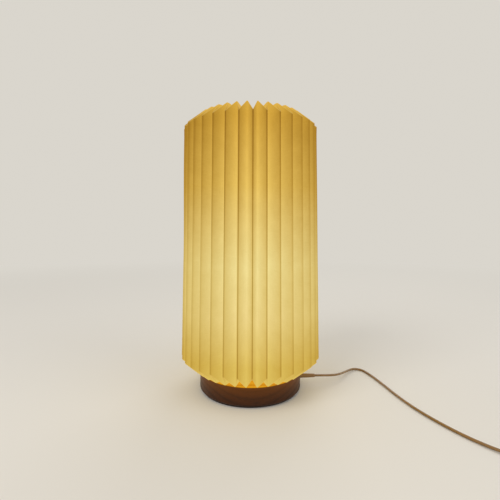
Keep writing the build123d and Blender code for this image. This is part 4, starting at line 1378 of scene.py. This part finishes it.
# ------------------------------------------------------------------ paper shade
@dataclass
class PaperShade:
    """The folded sheet, turned inwards at both ends, with its glued lap, glue beads and rings."""

    frame: dict
    finishes: Finishes
    pleats: int = 34
    ridge_radius: float = 90.1 * MM
    pleat_depth: float = 22.1 * MM
    paper: float = 0.4 * MM
    foot: float = 24.3 * MM
    height: float = 336.9 * MM
    top_shoulder: float = 18.9 * MM
    foot_shoulder: float = 18.1 * MM
    turned_in: float = 20.0 * MM
    first_ridge: float = 1.4
    seam_face: int = 34
    crease: float = 0.05
    crease_rounding: float = 0.16 * MM
    tip_blunting: float = 0.8 * MM
    bow: float = 0.32 * MM
    bow_rate: float = 9.0
    fold_wander: float = 0.10 * MM
    fold_wander_rate: float = 14.0
    edge_wander: float = 0.30 * MM
    swell: float = 1.7 * MM
    swell_side: float = 186.0
    swell_spread: float = 34.0
    swell_foot: float = 170.0 * MM
    swell_top: float = 320.0 * MM
    lap_share: float = 0.90
    lap_gap: float = 0.05 * MM
    body_rows: int = 26
    end_rows: int = 5
    ring_radius: float = 65.8 * MM
    ring_heights: tuple[float, float] = (331.2 * MM, 53.82 * MM)
    bead: float = 1.3 * MM
    bead_shape: Point = (0.75, 0.75, 1.15)
    bead_unevenness: float = 0.25
    bead_sunk: float = 0.15 * MM
    bead_sides: int = 10
    bead_rows: int = 6

    def __post_init__(self) -> None:
        """Work out the pleats' section and the corners of both ends."""
        self.valley_radius = self.ridge_radius - self.pleat_depth
        self.half_pitch = math.pi / self.pleats
        self.face_aside = self.valley_radius * math.sin(self.half_pitch)
        self.face_out = self.ridge_radius - self.valley_radius * math.cos(self.half_pitch)
        self.face_width = math.hypot(self.face_aside, self.face_out)
        self.ends = {shoulder: self.end_corners(shoulder)
                     for shoulder in (self.foot_shoulder, self.top_shoulder)}

    def insets(self) -> tuple[float, float]:
        """How much nearer the axis the sheet's inner side lies on an outer and an inner fold.

        Returns:
            The distance on an outer fold and on an inner one.
        """
        ridge_aside = self.ridge_radius * math.sin(self.half_pitch)
        ridge_out = self.ridge_radius * math.cos(self.half_pitch) - self.valley_radius
        at_ridge = math.atan2(self.face_aside, self.face_out)
        at_valley = math.atan2(ridge_aside, ridge_out)
        return self.paper / math.sin(at_ridge), self.paper / math.sin(at_valley)

    def turned_ridge_end(self, shoulder: float) -> Corner:
        """Radius and height of an outer fold's inner end, with the inner folds' level at zero.

        It lies as far from the fold's shoulder, and from the inner folds' ends beside it, as on
        the flat sheet.

        Args:
            shoulder: How far the outer folds stop short of the inner ones.

        Returns:
            The radius and the height.
        """
        valley_end = self.valley_radius - self.turned_in
        reach_squared = self.face_width ** 2 - (valley_end * math.sin(self.half_pitch)) ** 2
        centre = Vector((valley_end * math.cos(self.half_pitch), 0.0))
        run = Vector((self.ridge_radius, -shoulder)) - centre
        along = (reach_squared - (self.turned_in + shoulder) ** 2 + run.length_squared) / (2 * run.length)
        aside = math.sqrt(reach_squared - along ** 2)
        unit = run.normalized()
        place = centre + unit * along + Vector((unit.y, -unit.x)) * aside
        return place.x, place.y

    def end_corners(self, shoulder: float) -> tuple[list[Corner], list[Corner]]:
        """Corners of one end as (radius, height), with the body below and the level at zero.

        Args:
            shoulder: How far the outer folds stop short of the inner ones.

        Returns:
            For an outer and for an inner fold: the corner and the turned-in end on the sheet's
            outer side, then both on its inner side.
        """
        on_ridge = [(self.ridge_radius, -shoulder), self.turned_ridge_end(shoulder)]
        on_valley = [(self.valley_radius, 0.0), (self.valley_radius - self.turned_in, 0.0)]
        ridge, ridge_end = (self.at(radius, 0.0, height) for radius, height in on_ridge)
        valley, valley_end = (self.at(radius, self.half_pitch, height) for radius, height in on_valley)
        near_body = self.upward_normal(ridge, valley, ridge_end)
        near_end = self.upward_normal(valley, valley_end, ridge_end)
        ridge_inset, valley_inset = self.insets()
        on_ridge += [self.sunk(ridge, ridge_inset, near_body), self.sunk(ridge_end, 0.0, near_body, near_end)]
        on_valley += [self.sunk(valley, valley_inset, near_body, near_end),
                      self.sunk(valley_end, 0.0, near_end)]
        return on_ridge, on_valley

    @staticmethod
    def at(radius: float, angle: float, height: float) -> Vector:
        """A point round the axis, with the angle in radians."""
        return Vector((radius * math.cos(angle), radius * math.sin(angle), height))

    @staticmethod
    def upward_normal(first: Vector, second: Vector, third: Vector) -> Vector:
        """Unit normal of a facet, turned upwards, from three of its points."""
        normal = (second - first).cross(third - first).normalized()
        return normal if normal.z > 0 else -normal

    def sunk(self, corner: Vector, inset: float, *facets: Vector) -> Corner:
        """Radius and height of a corner on the sheet's inner side.

        Args:
            corner: The corner on the outer side.
            inset: How much nearer the axis the inner one lies.
            *facets: Normals of the facets that meet there.

        Returns:
            The radius and the height.
        """
        inwards = Vector((corner.x, corner.y, 0.0)).normalized() * -inset
        depths = [(self.paper + normal.dot(inwards)) / normal.z for normal in facets]
        return math.hypot(corner.x, corner.y) - inset, corner.z - sum(depths) / len(depths)

    def fold_angle(self, fold: int) -> float:
        """Angle of a fold round the axis, in radians."""
        return math.radians(self.first_ridge - 90) + fold * self.half_pitch

    def fold_line(self, fold: int, inner: bool) -> list[Vector]:
        """A fold's four corners from its lower inner end to its upper one.

        Args:
            fold: Number of the fold, outer ones even.
            inner: True for the side that faces the bulb.

        Returns:
            The corners, in metres.
        """
        pick = slice(2, 4) if inner else slice(0, 2)
        foot = self.ends[self.foot_shoulder][fold % 2][pick]
        top = self.ends[self.top_shoulder][fold % 2][pick]
        angle, level = self.fold_angle(fold), self.foot + self.height
        return [*(self.at(radius, angle, self.foot - height) for radius, height in reversed(foot)),
                *(self.at(radius, angle, level + height) for radius, height in top)]

    def stations(self) -> list[tuple[int, float]]:
        """Lines of points across the sheet, from its inner end round to the lap over it.

        Returns:
            Fold number and share along its face of each line.
        """
        shares = (0.0, self.crease, 0.2, 0.4, 0.6, 0.8, 1 - self.crease)
        first = self.seam_face
        line = [(face + first, share) for face in range(2 * self.pleats) for share in shares]
        lap = [(first + 2 * self.pleats, share * self.lap_share) for share in (*shares, 1.0)]
        return line + lap

    def levels(self) -> list[tuple[int, float]]:
        """Rows of points up the sheet, from the lower edge to the upper.

        Returns:
            Part of the fold line and share along it of each row.
        """
        ends = [step / self.end_rows for step in range(self.end_rows)]
        body = [step / self.body_rows for step in range(self.body_rows)]
        return [*((0, share) for share in ends), *((1, share) for share in body),
                *((2, share) for share in ends), (2, 1.0)]

    def flat_spot(self, face: int, share: float, inner: bool, level: tuple[int, float]) -> Vector:
        """Place on the plain facets between two folds.

        Args:
            face: Fold that the face starts at.
            share: Share along the face towards the next fold.
            inner: True for the side that faces the bulb.
            level: Part of the fold line and share along it.

        Returns:
            The point, in metres.
        """
        part, up = level
        here, after = (self.fold_line(fold, inner) for fold in (face, face + 1))
        return here[part].lerp(here[part + 1], up).lerp(after[part].lerp(after[part + 1], up), share)

    def swelling(self, place: Vector) -> float:
        """How far the sheet bulges outwards at its upper left, where its pleats stand wider.

        Args:
            place: The point before it is moved.

        Returns:
            The distance outwards.
        """
        away = math.degrees(math.atan2(place.y, place.x)) % 360 - self.swell_side
        rise = (place.z - self.swell_foot) / (self.swell_top - self.swell_foot)
        rise = min(1.0, max(0.0, rise))
        return self.swell * math.exp(-(away / self.swell_spread) ** 2) * rise * rise * (3 - 2 * rise)

    def spot(self, face: int, share: float, inner: bool, level: tuple[int, float]) -> Vector:
        """Place of one point of the sheet, with the small unevenness of folded paper.

        Args:
            face: Fold that the face starts at, counted on past the seam.
            share: Share along the face towards the next fold.
            inner: True for the side that faces the bulb.
            level: Part of the fold line and share along it.

        Returns:
            The point, in metres.
        """
        outside, inside = (self.flat_spot(face, share, side, level) for side in (False, True))
        place = (inside if inner else outside).copy()
        start, after = (self.fold_line(fold, inner)[1] for fold in (face, face + 1))
        normal = Vector((after.y - start.y, start.x - after.x, 0.0)).normalized()
        outwards = Vector((place.x, place.y, 0.0)).normalized()
        around = face % (2 * self.pleats)
        towards_ridge = 1 - share if face % 2 == 0 else share
        part, up = level
        belly = self.bow * math.sin(math.pi * share) * wobble(around * 2.3, place.z * self.bow_rate, 0.5)
        place += normal * belly + outwards * self.swelling(place)
        pleat = math.floor((around + 1) / 2)
        if part == 1:
            wander = wobble(pleat, place.z * self.fold_wander_rate, 5.2) - 1
            place += outwards * self.fold_wander * towards_ridge * wander
        else:
            inward_share = up if part == 2 else 1 - up
            drift = wobble(around * 1.7 + share, part * 4.0, 3.1) - 1
            place += Vector((0.0, 0.0, 1 - part)) * -self.edge_wander * drift * inward_share
        if share == 0.0 and not inner:
            sign = -1.0 if face % 2 == 0 else 1.0
            if part == 1:
                place += outwards * sign * self.crease_rounding
            if sign > 0 and (part, up) in ((1, 0.0), (2, 0.0)):
                place.z += self.tip_blunting * (1 if part == 1 else -1)
        if face >= self.seam_face + 2 * self.pleats:
            place += (outside - inside) * (1 + self.lap_gap / self.paper)
        return place

    def make_sheet(self) -> bpy.types.Object:
        """The pleated sheet: both its sides, its two edges and its two ends.

        Returns:
            The sheet.
        """
        line = self.stations()
        levels = self.levels()
        points: list[Vector] = []
        for inner in (False, True):
            for face, share in line:
                points += [self.spot(face, share, inner, level) for level in levels]
        row, side = len(levels), len(line) * len(levels)
        faces: list[tuple[int, int, int, int]] = []
        slots: list[int] = []
        for column in range(len(line) - 1):
            for level in range(row - 1):
                low = column * row + level
                faces.append((low, low + row, low + row + 1, low + 1))
                faces.append((side + low, side + low + 1, side + low + row + 1, side + low + row))
                slots += [0, 1]
        for column in range(len(line) - 1):
            foot, top = column * row, column * row + row - 1
            faces.append((foot, side + foot, side + foot + row, foot + row))
            faces.append((top, top + row, side + top + row, side + top))
            slots += [1, 1]
        for column in (0, len(line) - 1):
            for level in range(row - 1):
                low = column * row + level
                faces.append((low, low + 1, side + low + 1, side + low))
                slots.append(1)
        mesh = smooth_mesh("paper_column", points, faces, slots, sharp_over=75.0)
        sheet = piece_of("paper_column", mesh, Body.SHADE, self.finishes.paper, self.finishes.paper_inside)
        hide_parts("pleated_shade")
        return sheet

    def make_glue_beads(self) -> bpy.types.Object:
        """A bead of glue where each inner fold meets a ring.

        Returns:
            All the beads.
        """
        ball, ball_faces = unit_ball(self.bead_sides, self.bead_rows)
        middle = (self.valley_radius - self.insets()[1] + self.ring_radius) / 2 + self.bead_sunk
        points: list[Vector] = []
        faces: list[tuple[int, ...]] = []
        for height in self.ring_heights:
            for pleat in range(self.pleats):
                angle = self.fold_angle(2 * pleat + 1)
                size = self.bead * (1.0 + self.bead_unevenness * wobble(pleat * 3.7, height * 50.0, 1.0))
                place = Matrix.Translation(self.at(middle, angle, height)) @ Matrix.Rotation(angle, 4, "Z")
                place @= Matrix.Diagonal((*(size * part for part in self.bead_shape), 1.0))
                faces += [tuple(len(points) + corner for corner in face) for face in ball_faces]
                points += [place @ spot for spot in ball]
        mesh = smooth_mesh("glue_beads", points, faces, sharp_over=180.0)
        beads = piece_of("glue_beads", mesh, Body.SHADE, self.finishes.glue)
        return beads

    def build(self) -> list[str]:
        """Make the sheet and the beads, and dress the rings.

        Returns:
            The names of the pieces.
        """
        rings = dict.fromkeys(("shade_top_ring", "shade_carrier"), self.finishes.white_coat)
        return [self.make_sheet().name, self.make_glue_beads().name, *dress(self.frame, rings)]


# ------------------------------------------------------------------ base
@dataclass
class WoodenBase:
    """The turned base with its felt, cover and wiring."""

    frame: dict
    finishes: Finishes
    felt_radius: float = 62.8 * MM
    felt_thickness: float = 2.0 * MM
    felt_rounding: float = 0.5 * MM
    felt_rings: tuple[float, ...] = (0.3, 0.6, 0.85, 0.97)
    felt_middle: float = 2 * MM
    felt_steps: int = 180
    rim_start: float = 0.95
    fuzz: float = 0.12 * MM
    fuzz_round_rate: float = 40.0
    fuzz_upward_rate: float = 900.0

    def make_felt(self) -> bpy.types.Object:
        """A disc of felt with soft, slightly uneven edges.

        Returns:
            The felt.
        """
        round_off, top = self.felt_rounding, self.felt_thickness
        rings = [self.felt_radius * share for share in self.felt_rings]
        rim = [(self.felt_radius - round_off * (1 - math.cos(turn)), height)
               for turn, height in ((math.pi / 2, 0.0), (math.pi / 6, round_off * 0.5), (0.0, top / 2),
                                    (math.pi / 6, top - round_off * 0.5), (math.pi / 2, top))]
        outline = [(self.felt_middle, 0.0), *((ring, 0.0) for ring in rings), *rim,
                   *((ring, top) for ring in reversed(rings)), (self.felt_middle, top)]

        def fuzz(radius: float, height: float, angle: float) -> float:
            """Small unevenness of the cut rim.

            Args:
                radius: Radius before it is changed.
                height: Height above the table.
                angle: Angle round the axis.

            Returns:
                What is added to the radius, never over zero.
            """
            if radius < self.rim_start * self.felt_radius:
                return 0.0
            rate = self.fuzz_round_rate
            return self.fuzz * (wobble(rate * math.cos(angle), rate * math.sin(angle),
                                       height * self.fuzz_upward_rate) - 1)

        mesh = turned_mesh("felt_foot", outline, self.felt_steps, fuzz)
        felt = piece_of("felt_foot", mesh, Body.BASE, self.finishes.felt)
        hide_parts("felt_pad")
        return felt

    def build(self) -> list[str]:
        """Make the felt and dress the rest.

        Returns:
            The names of the pieces.
        """
        coats = self.finishes
        return [self.make_felt().name, *dress(self.frame, {
            "wooden_base": coats.walnut, "base_cover": coats.zinc, "cover_screws": coats.zinc,
            "threaded_tube": coats.zinc, "tube_nut": coats.zinc, "tube_washer": coats.zinc,
            "cord_clamp": coats.case, "clamp_screws": coats.zinc, "live_wire": coats.brown_wire,
            "neutral_wire": coats.blue_wire,
        })]


# ------------------------------------------------------------------ lampholder and bulb
@dataclass
class Lampholder:
    """The holder that carries both bulb and shade."""

    frame: dict
    finishes: Finishes

    def build(self) -> list[str]:
        """Dress the holder's pieces.

        Returns:
            The names of the pieces.
        """
        coats = self.finishes
        return dress(self.frame, {
            "holder_cap": coats.holder, "holder_skirt": coats.holder, "holder_insert": coats.ceramic,
            "screw_sleeve": coats.brass, "centre_contact": coats.brass, "terminal_screws": coats.zinc,
        })


@dataclass
class ScrewBulb:
    """The bulb, with a true screw thread rolled into its cap."""

    frame: dict
    finishes: Finishes
    radius: float = 12.7 * MM
    foot: float = 67.1 * MM
    height: float = 18.6 * MM
    wall: float = 0.4 * MM
    bevel: float = 0.7 * MM
    pitch: float = 3.63 * MM
    ridge: float = 0.45 * MM
    thread_foot: float = 2.6 * MM
    thread_top: float = 17.1 * MM
    plate: float = 1.0 * MM
    middle: float = 0.5 * MM
    around: int = 72
    levels: int = 76

    def thread(self, radius: float, height: float, angle: float) -> float:
        """How far the rolled thread stands out at a height and an angle.

        Args:
            radius: Radius before it is changed.
            height: Height above the table.
            angle: Angle round the axis.

        Returns:
            What is added to the radius.
        """
        up = height - self.foot
        if radius < self.radius - self.wall / 2:
            return 0.0
        fade = min(1.0, max(0.0, up - self.thread_foot) / self.pitch,
                   max(0.0, self.thread_top - up) / self.pitch)
        turn = up / self.pitch - angle / (2 * math.pi)
        return self.ridge * fade * (0.5 + 0.5 * math.cos(2 * math.pi * turn))

    def make_cap(self) -> bpy.types.Object:
        """The screw cap, closed below and open above.

        Returns:
            The cap.
        """
        wall = [(self.radius, self.foot + self.bevel + (self.height - self.bevel) * level / self.levels)
                for level in range(self.levels + 1)]
        inner, top = self.radius - self.wall, self.foot + self.height
        outline = [(self.middle, self.foot), (self.radius - self.bevel, self.foot), *wall,
                   (inner, top), (inner, self.foot + self.plate), (self.middle, self.foot + self.plate)]
        mesh = turned_mesh("threaded_cap", outline, self.around, self.thread)
        cap = piece_of("threaded_cap", mesh, Body.BULB, self.finishes.nickel)
        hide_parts("bulb_cap")
        return cap

    def build(self) -> list[str]:
        """Make the cap and dress the rest.

        Returns:
            The names of the pieces.
        """
        coats = self.finishes
        return [self.make_cap().name, *dress(self.frame, {
            "bulb_tip": coats.nickel, "bulb_insulator": coats.bulb_black, "bulb_housing": coats.bulb_white,
            "bulb_diffuser": coats.frosted, "led_board": coats.plate, "led_chips": coats.chips,
            "driver_board": coats.board, "driver_parts": coats.driver,
        })]


def main() -> None:
    """Build the camera, the studio and every assembly in order, and report each piece."""
    logging.basicConfig(level=logging.INFO, format="%(name)s: %(message)s")
    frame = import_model()
    PhotographCamera().place()
    Studio().build()
    finishes = Finishes(Effects())
    for assembly in (Leads(frame, finishes), PaperShade(frame, finishes), WoodenBase(frame, finishes),
                     Lampholder(frame, finishes), ScrewBulb(frame, finishes)):
        for piece in assembly.build():
            log.info("%s: %s", type(assembly).__name__, piece)
    bpy.context.view_layer.update()


if __name__ == "__main__":
    main()
